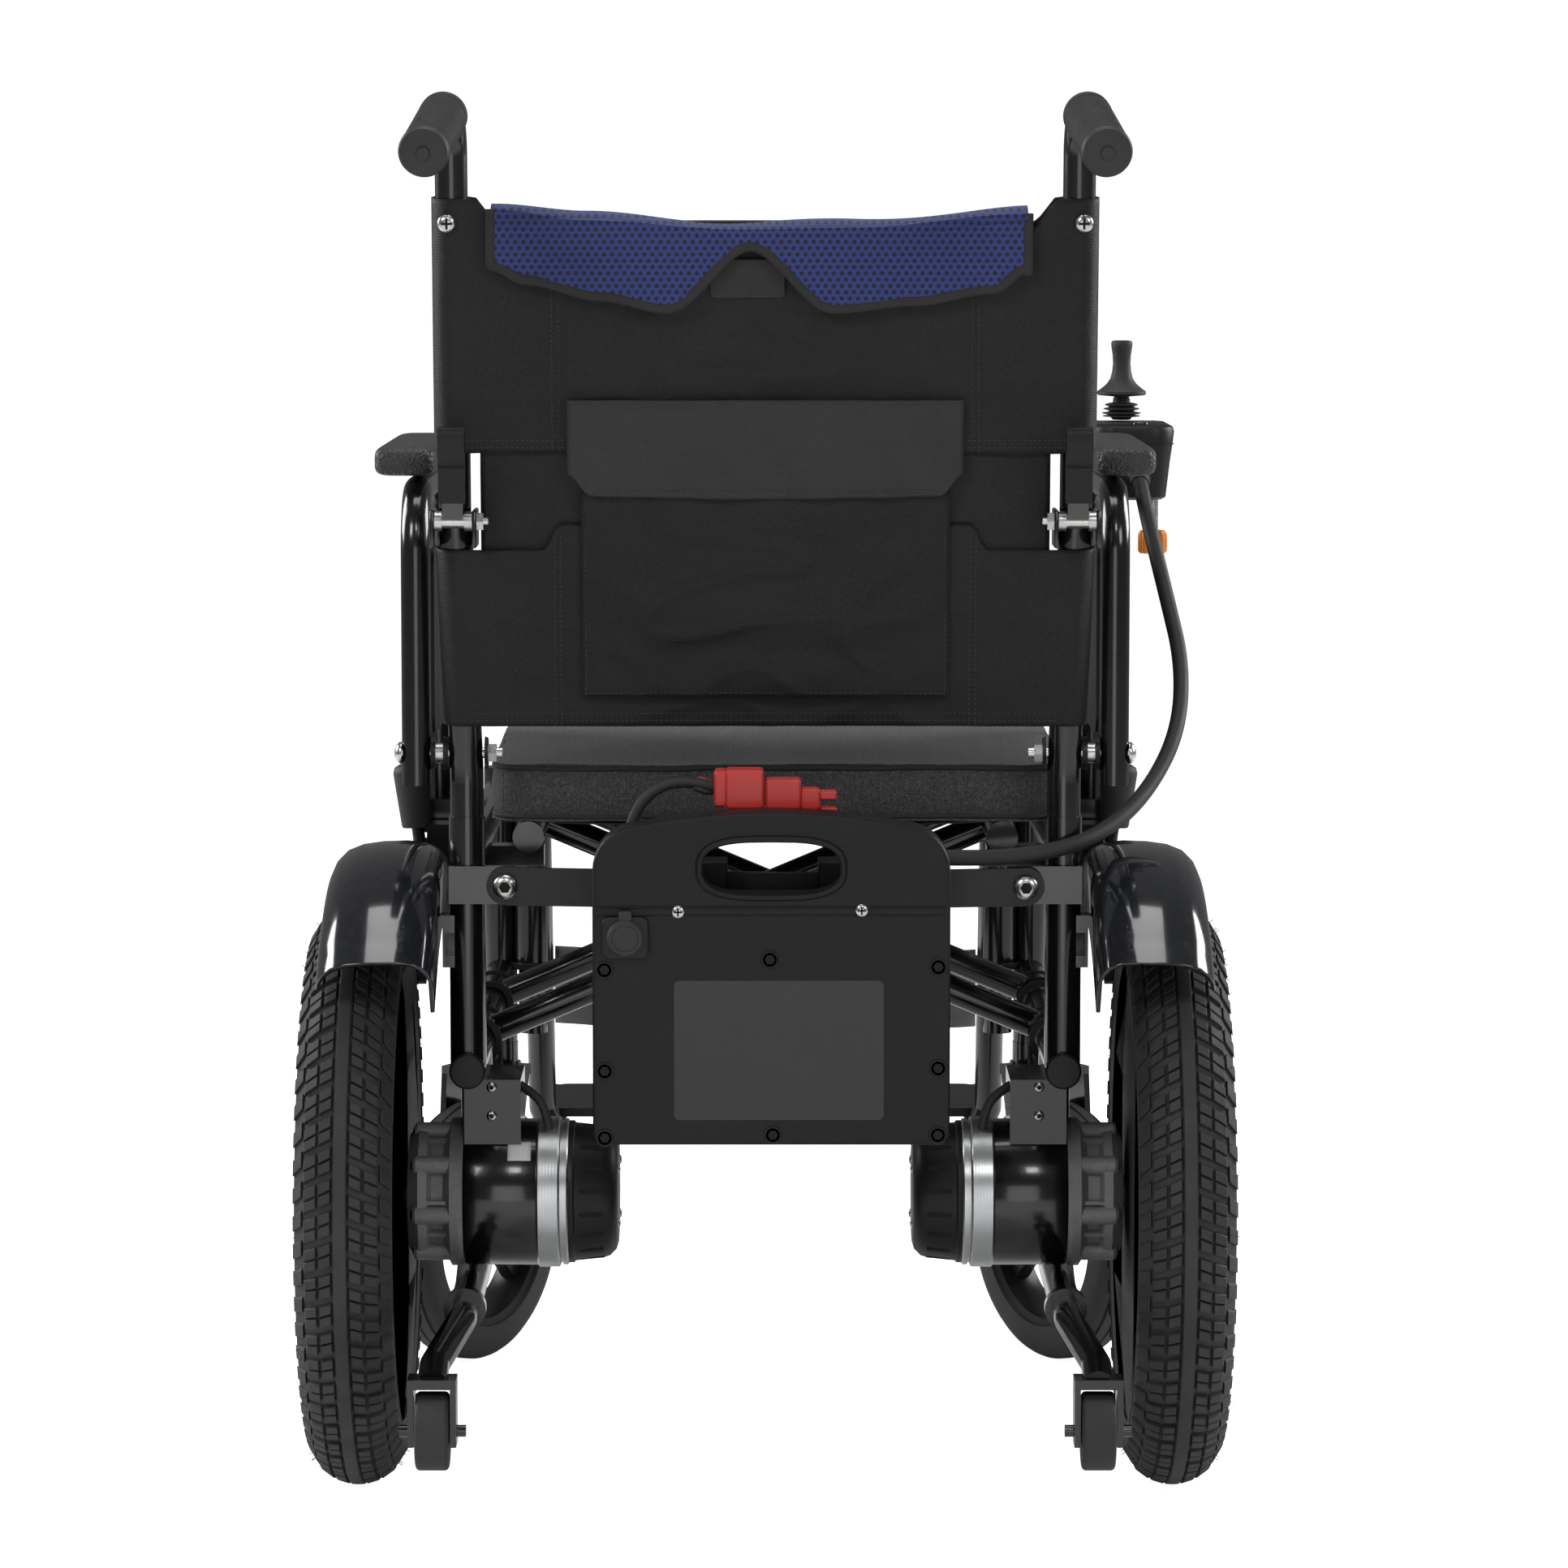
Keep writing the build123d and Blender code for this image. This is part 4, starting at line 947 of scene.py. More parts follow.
def seatPad():
    low, high = extent("seat_cushion")
    middle, half = (low + high) / 2, (high - low) / 2
    shape = bmesh.new()
    bmesh.ops.create_cube(shape, size=2)
    bmesh.ops.subdivide_edges(shape, edges=list(shape.edges), cuts=seat["cuts"], use_grid_fill=True)
    for vert in shape.verts:
        vert.co = (middle + seatSpot(*vert.co, half)) * mm
    mesh = bpy.data.meshes.new("seat_pad")
    shape.to_mesh(mesh)
    shape.free()
    cushion = piece("seat_pad", mesh, "knit", "seat", 75)
    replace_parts(cushion, "seat_cushion")
    return cushion


def pipingPath(z, middle, half):
    # follows the pad's edge with a slight waver
    ring = roundRect(middle.x, middle.y, half.x * 2 + 0.5, half.y * 2 + 0.5, 25, 10)
    path = []
    for a, b in zip(ring, ring[1:] + ring[:1]):
        steps = max(1, int(math.hypot(b[0] - a[0], b[1] - a[1]) / 9))
        for i in range(steps):
            t = i / steps
            x, y = a[0] + (b[0] - a[0]) * t, a[1] + (b[1] - a[1]) * t
            path.append(Vector((x, y, z + noise.noise(Vector((x * 0.02, y * 0.02, z))) * 1.6)) * mm)
    return path + path[:2]


def seatPiping():
    low, high = extent("seat_cushion")
    middle, half = (low + high) / 2, (high - low) / 2
    rolls = [swept("piping", pipingPath(z, middle, half), seat["piping"], "binding", "seat", 10,
                   hint=(0, 0, 1))
             for z in (high.z - 2.5, low.z + 2.5)]
    return join("seat_pad_welt", rolls)


def seatRow(y, low, high):
    # one line across the cloth, hanging between the rails
    row = []
    for k in range(61):
        x = low.x + (high.x - low.x) * k / 60
        inside = max(0, 1 - abs(x) / seat["rail"])
        uneven = 1 + 0.5 * noise.noise(Vector((x * 0.012, y * 0.01, 2)))
        row.append(Vector((x, y, low.z + 1.5 - seat["sag"] * inside ** 0.6 * uneven)))
    return row


def seatCloth():
    low, high = extent("seat_sling")
    grid = [seatRow(low.y + (high.y - low.y) * row / 40, low, high) for row in range(41)]
    points, faces = bands(grid, closed=False, caps=False)
    cloth = thicken(piece("seat_cloth", meshOf("seat_cloth", points, faces), "nylon", "seat", 60), 1.6)
    edges = [[spot * mm for spot in seatRow(y, low, high)] for y in (low.y + 1.5, high.y - 1.5)]
    hems = join("seat_cloth_hems", [swept("hem", edge, seat["hem"], "binding", "seat", 10, 0.4, hint=(0, 0,
                                                                                                      1))
                                    for edge in edges])
    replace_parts(cloth, "seat_sling")
    return [cloth, hems]


calf = {"rows": 16, "across": 48, "belly": 33.5, "thick": 2.4, "hinge": -0.180, "keep": 0.67}


def calfStrap():
    low, high = extent("calf_strap")
    grid = []
    for row in range(calf["rows"] + 1):
        z = low.z + (high.z - low.z) * row / calf["rows"]
        ring = []
        for k in range(calf["across"] + 1):
            u = -1 + 2 * k / calf["across"]
            x = u * (high.x - 0.5)
            waver = noise.noise(Vector((x * 0.02, z * 0.05, 4))) * 1.6
            ring.append((x, high.y - 2 - calf["belly"] * (1 - u * u) + waver, z + 1.5 * math.sin(u * 5)))
        grid.append(ring)
    points, faces = bands(grid, closed=False, caps=False)
    strap = piece("calf_strap_cloth", meshOf("strap", points, faces), "strap", "left_frame", 60)
    thicken(strap, calf["thick"])
    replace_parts(strap, "calf_strap")
    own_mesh(strap)


for soft in [seatPad(), seatPiping()] + seatCloth():
    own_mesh(soft)
calfStrap()
print("seat pieces")


# the drive wheels and the casters
wheel = {"x": 282.0, "r": 203.0, "half": 32.5, "pitches": 60, "hairs": 90, "spokes": 6}


def treadRadius(t):
    # outer radius of the tyre at a distance from its middle
    t = min(abs(t), wheel["half"])
    crown, edge = 35.0, 24
    curved = wheel["r"] - crown + math.sqrt(crown ** 2 - min(t, edge) ** 2)
    return curved - max(0, t - edge) * 1.6


def lug(points, faces, s, t0, t1, a0, a1, skew, base=4.2, top=0.0):
    # a block of tread, wider at its foot
    start = len(points)
    middle, centre = (t0 + t1) / 2, (a0 + a1) / 2
    for drop, grow in ((base, 1.12), (top + 0.5, 1.0), (top, 0.88)):
        for u, v in ((-1, -1), (1, -1), (1, 1), (-1, 1)):
            t = middle + u * (t1 - t0) / 2 * grow
            a = centre + v * (a1 - a0) / 2 * grow + skew * (t - middle)
            r = treadRadius(t) - drop
            points.append((s * wheel["x"] + t, axle - r * math.sin(a), wheel["r"] + r * math.cos(a)))
    for row in (0, 4):
        for i in range(4):
            j = (i + 1) % 4
            faces.append((start + row + i, start + row + j, start + row + 4 + j, start + row + 4 + i))
    faces.append((start + 8, start + 9, start + 10, start + 11))
    faces.append((start + 3, start + 2, start + 1, start))


def driveTyre(s, side):
    centre = Vector((s * wheel["x"], axle, wheel["r"]))
    profile = [(t, treadRadius(t) - (3.4 if abs(t) > 4.2 else 0.0)) for t in range(-32, 33, 2)]
    profile += [(32.4, 172), (31.8, 164), (29, 156), (25.5, 150), (24, 148), (-24, 148), (-25.5, 150),
                (-29, 156), (-31.8, 164), (-32.4, 172)]
    carcass = lathe("carcass", centre, (1, 0, 0), profile, "tread", "wheel_" + side, 128, 40, loop=True)
    points, faces = [], []
    step = math.tau / wheel["pitches"]
    for k in range(wheel["pitches"]):
        a = k * step
        for m in (-1, 1):
            shift = a + (0.5 * step if m > 0 else 0)
            for half in (0, 1):
                b = shift + half * step * 0.40
                lug(points, faces, s, *sorted((m * 6.2, m * 14.0)), b, b + step * 0.33, m * 0.0022)
                lug(points, faces, s, *sorted((m * 16.2, m * 24.5)), b + step * 0.2, b + step * 0.53,
                    m * 0.0022)
            lug(points, faces, s, *sorted((m * 26.2, m * 32.6)), shift + step * 0.1, shift + step * 0.6,
                m * 0.004, 3.4)
    blocks = piece("blocks", meshOf("blocks", points, faces), "tread", "wheel_" + side, 20)
    beads = [lathe("bead", centre + Vector((m * 31.6, 0, 0)), (1, 0, 0),
                   [(m * -1.5, 168), (m * 0.9, 167.5), (m * 1.1, 165.5), (m * -1.5, 165)], "tread",
                   "wheel_" + side, 96, 40) for m in (-1, 1)]
    hairs = []
    for k in range(wheel["hairs"]):
        a = random.uniform(0, math.tau)
        t = random.choice((-1, 1)) * random.uniform(26, 32)
        r = treadRadius(t)
        root = Vector((s * wheel["x"] + t, axle - r * math.sin(a), wheel["r"] + r * math.cos(a)))
        out = Vector((math.copysign(0.8, t), -math.sin(a) * 0.6, math.cos(a) * 0.6))
        if root.z + out.z * 3 > 2.5:
            line = [root, root + out * 1.4, root + out * 3 + Vector((0, 0.6, 0))]
            hairs.append(swept("hair", [spot * mm for spot in line], 0.28, "tread", "wheel_" + side, 4))
    tyre = join("tread_" + side, [carcass, blocks] + beads + hairs)
    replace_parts(tyre, "drive_tyre_" + side)


def driveRim(s, side):
    body = "wheel_" + side
    centre = Vector((s * wheel["x"], axle, wheel["r"]))
    out = (s, 0, 0)
    rings = [(-24.6, 151), (-26, 151.5), (-26.4, 149.5), (-24.5, 147.5), (-20, 145), (-17, 139), (-10, 136),
             (10, 136), (17, 139), (20, 145), (24.5, 147.5), (26.4, 149.5), (26, 151.5), (24.6, 151),
             (22, 148),
             (-22, 148)]
    parts = [lathe("rim", centre, out, rings, "rim", body, 128, 35, loop=True)]
    hub = [(0, 30), (4, 31), (40, 31), (46, 36), (56, 36), (60, 33), (62, 24), (62, 8.2)]
    parts.append(lathe("hub", centre + Vector((s * -30, 0, 0)), out, hub, "rim", body, 64))
    spoke = [(28, 17), (60, 11.5), (95, 10.5), (128, 15), (140, 24)]
    outline = spoke + [(t, -width) for t, width in reversed(spoke)]
    for k in range(wheel["spokes"]):
        a = math.tau * k / wheel["spokes"] + 0.26
        arm = slab("arm", outline, -8, 9, "z", "rim", body, 2.4, 3)
        turn = Matrix(((0, 0, s), (-math.sin(a), -math.cos(a), 0), (math.cos(a), -math.sin(a), 0)))
        for vert in arm.data.vertices:
            vert.co = (centre + turn @ (vert.co / mm)) * mm
        parts.append(arm)
    rim = join("rim_detail_" + side, parts)
    shape = bmesh.new()
    shape.from_mesh(rim.data)
    bmesh.ops.recalc_face_normals(shape, faces=shape.faces)
    shape.to_mesh(rim.data)
    shape.free()
    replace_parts(rim, "drive_rim_" + side)
    lathe("rim_edge_" + side, centre + Vector((s * -26.2, 0, 0)), out,
          [(0.4, 150.4), (-0.5, 151.2), (-0.7, 150.4), (-0.4, 149.6), (0.4, 149.4)], "turned", body, 128)
    cap = [lathe("cap", centre + Vector((s * 31.5, 0, 0)), out,
                 [(0, 25), (2.5, 25), (3.6, 23), (3.8, 19), (2.4, 17.5), (2.4, 0.1)], "plastic", body, 48)]
    for k in range(6):
        a = math.tau * k / 6
        cap.append(screw("nut", centre + Vector((s * 32, 28.6 * math.cos(a), 28.6 * math.sin(a))), out,
                         3.4, body))
    join("hub_cap_" + side, cap)


def casterDetail(s, side):
    low, high = extent("caster_wheel_" + side)
    centre = (low + high) / 2
    yaw = math.radians(30)
    out = Vector((math.cos(yaw), s * math.sin(yaw), 0))
    body = "caster_wheel_" + side
    right = [(0.7, 98.6), (1.2, 100), (9, 99.6), (9.6, 97.4), (11, 97.4), (11.5, 98.6), (14, 97), (17.5, 93),
             (19, 88), (19, 74), (14, 72)]
    profile = [(-t, r) for t, r in reversed(right[:-1])] + right + [(-14, 72)]
    parts = [lathe("tyre", centre, out, profile, "rubber", body, 96, 30, loop=True)]
    parts.append(lathe("rim", centre, out, [(-15, 74), (-16.5, 73), (-15, 68), (-5, 65), (5, 65), (15, 68),
                                            (16.5, 73), (15, 74)], "rim", body, 96, 30, loop=True))
    parts.append(lathe("hub", centre, out, [(-19, 6), (-19, 17), (-14, 20), (14, 20), (19, 17), (19, 6)],
                       "rim",
                       body, 48, 30, loop=True))
    for k in range(5):
        a = math.tau * k / 5
        arm = slab("arm", [(18, 9), (45, 6.5), (67, 11), (67, -11), (45, -6.5), (18, -9)], -6, 6, "z", "rim",
                   body, 2)
        up = Vector((0, 0, 1))
        flat = out.cross(up)
        for vert in arm.data.vertices:
            p = vert.co / mm
            spin = flat * (p.x * math.cos(a) - p.y * math.sin(a))
            spin += up * (p.x * math.sin(a) + p.y * math.cos(a))
            vert.co = (centre + spin + out * p.z) * mm
        parts.append(arm)
    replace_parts(join("caster_detail_" + side, parts), "caster_wheel_" + side)
    for m in (-1, 1):
        screw("caster_bolt_%s_%d" % (side, m), centre + out * m * 27, out * m, 8.0, "caster_fork_" + side,
              "hex",
              "zinc", 5)


for s, side in ((-1, "left"), (1, "right")):
    driveTyre(s, side)
    driveRim(s, side)
    casterDetail(s, side)
print("wheels")


# the battery's case, its fittings and its plug
battery = {"shoulder": 424.0, "corner": 30, "chamfer": 5, "face": 36, "back": -310,
           "hand": (450, 48, 19.5), "port": (22, 404), "plate": (5, 328, 140, 94)}
wells = [(-112, 382), (3, 389), (118, 384), (-111, 314), (119.5, 316), (-109, 269), (5, 271), (118, 271)]


def caseOutline(left, right, foot, top):
    # straight sides, round shoulders and an arched top
    cx, corner, edge = (left + right) / 2, battery["corner"], battery["chamfer"]
    bend = battery["shoulder"] + 24
    arch = bend + corner
    outline = [(left, foot + edge), (left + edge, foot), (right - edge, foot), (right, foot + edge),
               (right, bend)]
    quarter = [math.radians(90 * i / 8) for i in range(1, 8)]
    outline += [(right - corner + corner * math.cos(a), bend + corner * math.sin(a)) for a in quarter]
    for i in range(13):
        u = 1 - 2 * i / 12
        outline.append((cx + u * (right - left - 2 * corner) / 2, arch + (top - arch) * (1 - u * u)))
    outline += [(left + corner - corner * math.sin(a), bend + corner * math.cos(a)) for a in quarter]
    return outline + [(left, bend)]


def handHole(cx):
    z, wide, tall = battery["hand"]
    hole = []
    for i in range(40):
        c, s = math.cos(math.tau * i / 40), math.sin(math.tau * i / 40)
        hole.append((cx + math.copysign(abs(c) ** 0.62, c) * wide, z + math.copysign(abs(s) ** 0.75,
                                                                                     s) * tall))
    return hole


def batteryShell():
    low, high = extent("battery_case")
    left, right, rear, cx = low.x, high.x, low.y, (low.x + high.x) / 2
    hand = handHole(cx)
    parts = [slab("face", caseOutline(left, right, low.z, high.z), rear, rear + battery["face"], "y",
                  "battery",
                  "battery", 2.6, 4, [hand]),
             block("back", (left, rear + 34, low.z), (right, battery["back"], battery["shoulder"]),
                   "battery",
                   "battery", 4)]
    path = [Vector((x, rear - 0.2, z)) * mm for x, z in hand + hand[:1]]
    parts.append(swept("rim", path, 2.2, "battery", "battery", 10))
    # two near-black lines across the face along the lid's step: painted shade of the step
    for z, inset, lift, radius in ((424, 3, 0.1, 0.9), (418.5, 4, 0.05, 0.5)):
        line = [Vector((x, rear - lift, z)) * mm for x in (left + inset, right - inset)]
        parts.append(swept("step", line, radius, "void", "battery", 8))
    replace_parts(join("battery_shell", parts), "battery_case", "battery_cover")


def batteryWells():
    # sunk screws round the cover, each in a raised ring; the sunk hole is a near-black disc, painted shade
    low, high = extent("battery_case")
    marks = []
    for x, z in wells:
        x = max(low.x + 8, min(high.x - 8, x))
        # near-black disc in each well: painted shade of the sunk hole
        marks.append(lathe("well", (x, low.y - 0.6, z), (0, 1, 0), [(0, 4.6), (0, 3.4), (1.2, 3.2),
                                                                    (1.2, 0.05)],
                           "void", "battery", 6, 20))
        marks.append(lathe("ring", (x, low.y - 0.2, z), (0, -1, 0), [(0, 6.2), (0.5, 5.9), (0.5, 4.7),
                                                                     (0, 4.6)],
                           "battery", "battery", 28, 30))
    join("battery_wells", marks)
    for x, z in ((-58, 421), (64, 422)):
        screw("battery_screw_%d" % (x > 0), (x, low.y, z), (0, -1, 0), 4.6, "battery")


def chargePort():
    low = extent("battery_case")[0]
    x, z = low.x + battery["port"][0], battery["port"][1]
    rear = low.y
    cap = [(0, 12.5), (2.6, 12.3), (4.0, 11.0), (4.3, 9.0), (3.6, 8.4), (3.6, 0.1)]
    join("charge_port", [
        slab("port", roundRect(x, z, 31, 28, 5), rear - 4.5, rear + 1, "y", "plastic", "battery", 1.2, 3),
        lathe("cap", (x, rear - 4, z), (0, -1, 0), cap, "rubber", "battery", 40),
        slab("tab", roundRect(x, z + 14.6, 9, 7, 2), rear - 6.6, rear - 3, "y", "rubber", "battery", 0.8)])


def batteryPlate():
    low, high = extent("battery_case")
    shift, z, wide, tall = battery["plate"]
    outline = roundRect((low.x + high.x) / 2 + shift, z, wide, tall, 4)
    slab("battery_plate", outline, low.y - 0.45, low.y + 0.2, "y", "slate", "battery", 0.2)


def batteryHooks():
    low, high = extent("battery_case")
    cx = (low.x + high.x) / 2
    hooks = []
    for x in (cx - 56, cx + 32):
        for near, far, foot in ((-316, -310, 423), (-311, -282.2, 437.4), (-286, -282, 427)):
            hooks.append(block("hook", (x, near, foot), (x + 26, far, 443), "battery", "battery", 1))
    join("battery_hooks", hooks)


def powerPlug():
    y = front - 52
    parts = [slab("body", roundRect(x, z, wide, tall, 3), y - deep / 2, y + deep / 2, "y", "red",
                  "battery", 1.6, 3)
             for x, z, wide, tall, deep in ((-30, 499, 9, 25, 20), (-14, 498.5, 26, 27, 20), (12, 495, 24,
                                                                                              21, 18),
                                            (30, 491.5, 14, 15, 14))]
    parts += [slab("mouth", roundRect(42, z, 12, 6.5, 2), y - 5, y + 5, "y", "red", "battery", 1.2)
              for z in (483, 494)]
    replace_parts(join("power_plug", parts), "power_connector")
    red = [(-48, y, 503), (-44, y + 2, 504.5), (-40, y + 1, 503), (-35, y, 501.5)]
    black = [(-48, y - 1, 499), (-44, y - 2, 498), (-40, y - 2, 496), (-35, y, 496)]
    join("plug_cores", [swept("core", spline([Vector(p) * mm for p in route]), 2.1, key, "battery", 12)
                        for route, key in ((red, "red"), (black, "cable"))])


batteryShell()
batteryWells()
chargePort()
batteryPlate()
batteryHooks()
powerPlug()
print("battery")


# the motors with their gearboxes
motor = {"slots": 18, "bosses": 8, "ribs": 12, "ringX": 158, "boxX": 209}
boxFaces = [(0, 1, 3, 2), (4, 5, 7, 6), (0, 1, 5, 4), (2, 3, 7, 6), (1, 3, 7, 5), (0, 2, 6, 4)]


def motorSpot(s, x, y=0, z=0):
    return Vector((s * x, axle + y, wheel["r"] + z))


def finBlock(s, turn, ends, half, radii, key):
    # a small block standing on the motor's round side
    up = Vector((0, math.cos(turn), math.sin(turn)))
    flat = Vector((0, -math.sin(turn), math.cos(turn)))
    corners = [motorSpot(s, x) + up * r + flat * t for x in ends for t in (-half, half) for r in radii(x)]
    return piece("fin", meshOf("fin", corners, boxFaces), key, "left_frame" if s < 0 else "right_frame")


def motorCan(s, side):
    # black can, silver ring and slotted end cap, from the gearbox inwards
    body, inward = side + "_frame", (-s, 0, 0)
    can = lathe("can", motorSpot(s, 209), inward, [(0, 50), (2, 51), (50, 51), (52, 50), (52, 40)],
                "frame", body,
                96)
    lathe("motor_ring_" + side, motorSpot(s, motor["ringX"]), inward,
          [(0, 46), (0, 51.6), (1, 52.5), (14.5, 52.5), (15.5, 51.6), (16, 49.5), (17.5, 49.5), (17.5, 51),
           (20.5, 51), (21.5, 50), (21.5, 44)], "turned", body, 96)
    cap = lathe("cap", motorSpot(s, 137), inward,
                [(0, 49), (1, 49.6), (4, 49.6), (5, 48.2), (24, 46.2), (29, 44.6), (33.5, 40), (35, 35),
                 (35, 0.1)],
                "plastic", body, 96)
    # the cap's vent slots are near-black blocks on its face: painted shade inside the slots
    slots = [finBlock(s, math.tau * (k + 0.5) / motor["slots"], (128.5, 112.0), 1.7,
                      lambda x: (44.0, 47.95 - (128.5 - x) * 0.085), "void") for k in range(motor["slots"])]
    bolts = []
    for k in range(4):
        a = math.tau * (k + 0.5) / 4
        bolts.append(screw("bolt", motorSpot(s, 102.5, 27 * math.cos(a), 27 * math.sin(a)), inward, 3.4,
                           body))
    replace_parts(join("motor_detail_" + side, [can, cap] + slots + bolts), "drive_motor_" + side)


def gearbox(s, side):
    # rough casting with bolt bosses and ribs
    body, out = side + "_frame", (s, 0, 0)
    parts = [lathe("cast", motorSpot(s, motor["boxX"]), out,
                   [(0, 44), (0, 50), (3, 51.5), (9, 51.5), (11, 48), (14, 43), (22, 42), (25, 47), (31, 48),
                    (34, 45), (38.5, 40), (38.5, 8)], "cast", body, 96, 25)]
    for k in range(motor["bosses"]):
        a = math.tau * (k + 0.25) / motor["bosses"]
        boss = motorSpot(s, motor["boxX"], 44.5 * math.cos(a), 44.5 * math.sin(a))
        parts.append(lathe("boss", boss + Vector((s * 1.5, 0, 0)), out,
                           [(0, 5), (0, 6.8), (28, 6.6), (31, 6.8), (33, 5.5), (33, 0.1)], "cast", body,
                           24, 30))
        parts.append(screw("screw", boss + Vector((s * 34, 0, 0)), out, 3.6, body, "socket"))
    parts.append(lathe("shaft", motorSpot(s, 247), out, [(0, 12), (4, 11), (5, 8), (58, 8), (59, 7),
                                                         (59, 0.1)],
                       "turned", body, 40))
    parts += [finBlock(s, math.tau * k / motor["ribs"], (220, 234), 1.3, lambda x: (40, 47), "cast")
              for k in range(motor["ribs"])]
    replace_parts(join("gearbox_detail_" + side, parts), "gearbox_" + side)


def motorSticker(s):
    angles = [math.radians(128 + i * 2.2) for i in range(9)]
    grid = [[motorSpot(s, 178 - row * 4.0, 51.15 * math.cos(a), 51.15 * math.sin(a)) for a in angles]
            for row in range(5)]
    points, faces = bands(grid, closed=False, caps=False)
    thicken(piece("motor_sticker", meshOf("sticker", points, faces), "paper", "left_frame"), 0.2, -1)


def motorPieces(s, side):
    motorCan(s, side)
    gearbox(s, side)
    if s < 0:
        motorSticker(s)
    lead = [(150, -20, 47), (152, -24, 62), (160, -20, 72), (172, -12, 78)]
    swept("motor_lead_" + side, spline([motorSpot(s, *spot) * mm for spot in lead]), 3.2, "cable",
          side + "_frame", 14)


# the fenders with their stays
def fenderPiece(s, side):
    body = side + "_frame"
    outer = [(301, 218), (300, 224), (296.5, 232), (290, 238.5), (280, 242.5), (266, 244.5), (250, 245),
             (238, 244),
             (229, 240), (224, 234), (222, 226), (222, 194)]
    inner = [(225, 194), (225, 226), (227, 232.5), (231, 237.5), (239, 241), (250, 242), (266, 241.5),
             (279, 239.6), (288, 236), (294, 230.5), (297, 223.5), (298, 218)]
    grid = []
    turns = 64
    for k in range(turns + 1):
        a = math.radians(48 + 84 * k / turns)
        flare = max(0, 4 - min(k, turns - k)) * 0.55
        ring = []
        for x, r in outer + inner:
            grow = flare if r > 236 else flare * 0.4
            ring.append((s * x, axle + (r + grow) * math.cos(a), wheel["r"] + (r + grow) * math.sin(a)))
        grid.append(ring)
    points, faces = bands(grid)
    shell = piece("fender_shell_" + side, meshOf("fender", points, faces), "gloss", body, 50)
    rounded(shell, 0.8)
    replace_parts(shell, "fender_" + side)
    near, far = sorted((s * 205, s * 222))
    join("fender_stay_" + side, [
        block("stay", (near, axle - 39, 372), (far, axle - 21, 392), "frame", body, 2),
        screw("screw", (s * 221, axle - 30, 398), (-s * 0.1, -0.5, 1), 4.5, body)])


# bolts, hinges and caps
def fixings(s, side):
    body = side + "_frame"
    post = axle - 30
    pinY, pinZ = hingeY - 24, 675
    out = (s, 0, 0)
    pin = [(0, 2.6), (0.5, 3), (5, 3), (5.2, 4.8), (16.7, 4.8), (39, 4.8), (39.4, 4.4), (39.4, 0.1)]
    nut = [(0, 6.4), (5, 6.4), (5.2, 0.2)]
    parts = [lathe("pin", (s * 187, pinY, pinZ), out, pin, "zinc", body, 28, 30),
             lathe("nut", (s * 190.5, pinY, pinZ), out, nut, "zinc", body, 6, 20)]
    for near, wide in ((198.2, 5.2), (218.6, 4.9)):
        parts.append(lathe("spacer", (s * near, pinY, pinZ), out,
                           [(0, 0.2), (0, 6.6), (wide, 6.6), (wide, 0.2)], "turned", body, 28, 30))
    for near in (195, 223.5):
        a, b = sorted((s * near, s * (near + 3)))
        parts.append(block("cheek", (a, hingeY - 32, 657), (b, hingeY + 4, 683), "frame", body, 1.4))
    # pivot of the armrest
    for near, profile, steps, angle in (
            (180, [(0, 0.1), (0, 3.2), (0.6, 3.6), (70, 3.6), (70, 0.1)], 24, 30),
            (184.5, [(0, 0.2), (0, 6.6), (7.5, 6.6), (7.5, 0.2)], 6, 20),
            (249.5, [(0, 0.1), (0, 7.6), (1.5, 7.6), (3.6, 5.8), (4.9, 2.6), (5.0, 0.1)], 32, 60)):
        parts.append(lathe("pivot", (s * near, post, 513.5), out, profile, "zinc", body, steps, angle))
    for near, wide in ((217.6, 3.2), (226.2, 3.2), (190.2, 2.2)):
        parts.append(lathe("saddle", (s * near, post, 513.5), out,
                           [(0, 0.1), (0, 10.5), (wide, 11.5), (wide, 0.1)], "plastic", body, 32, 30))
    parts.append(lathe("spacer", (s * 220.6, post, 513.5), out, [(0, 0.1), (0, 7), (5.7, 7), (5.7, 0.1)],
                       "zinc",
                       body, 28, 30))
    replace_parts(join("hinge_fixings_" + side, parts), "frame_fasteners_" + side)


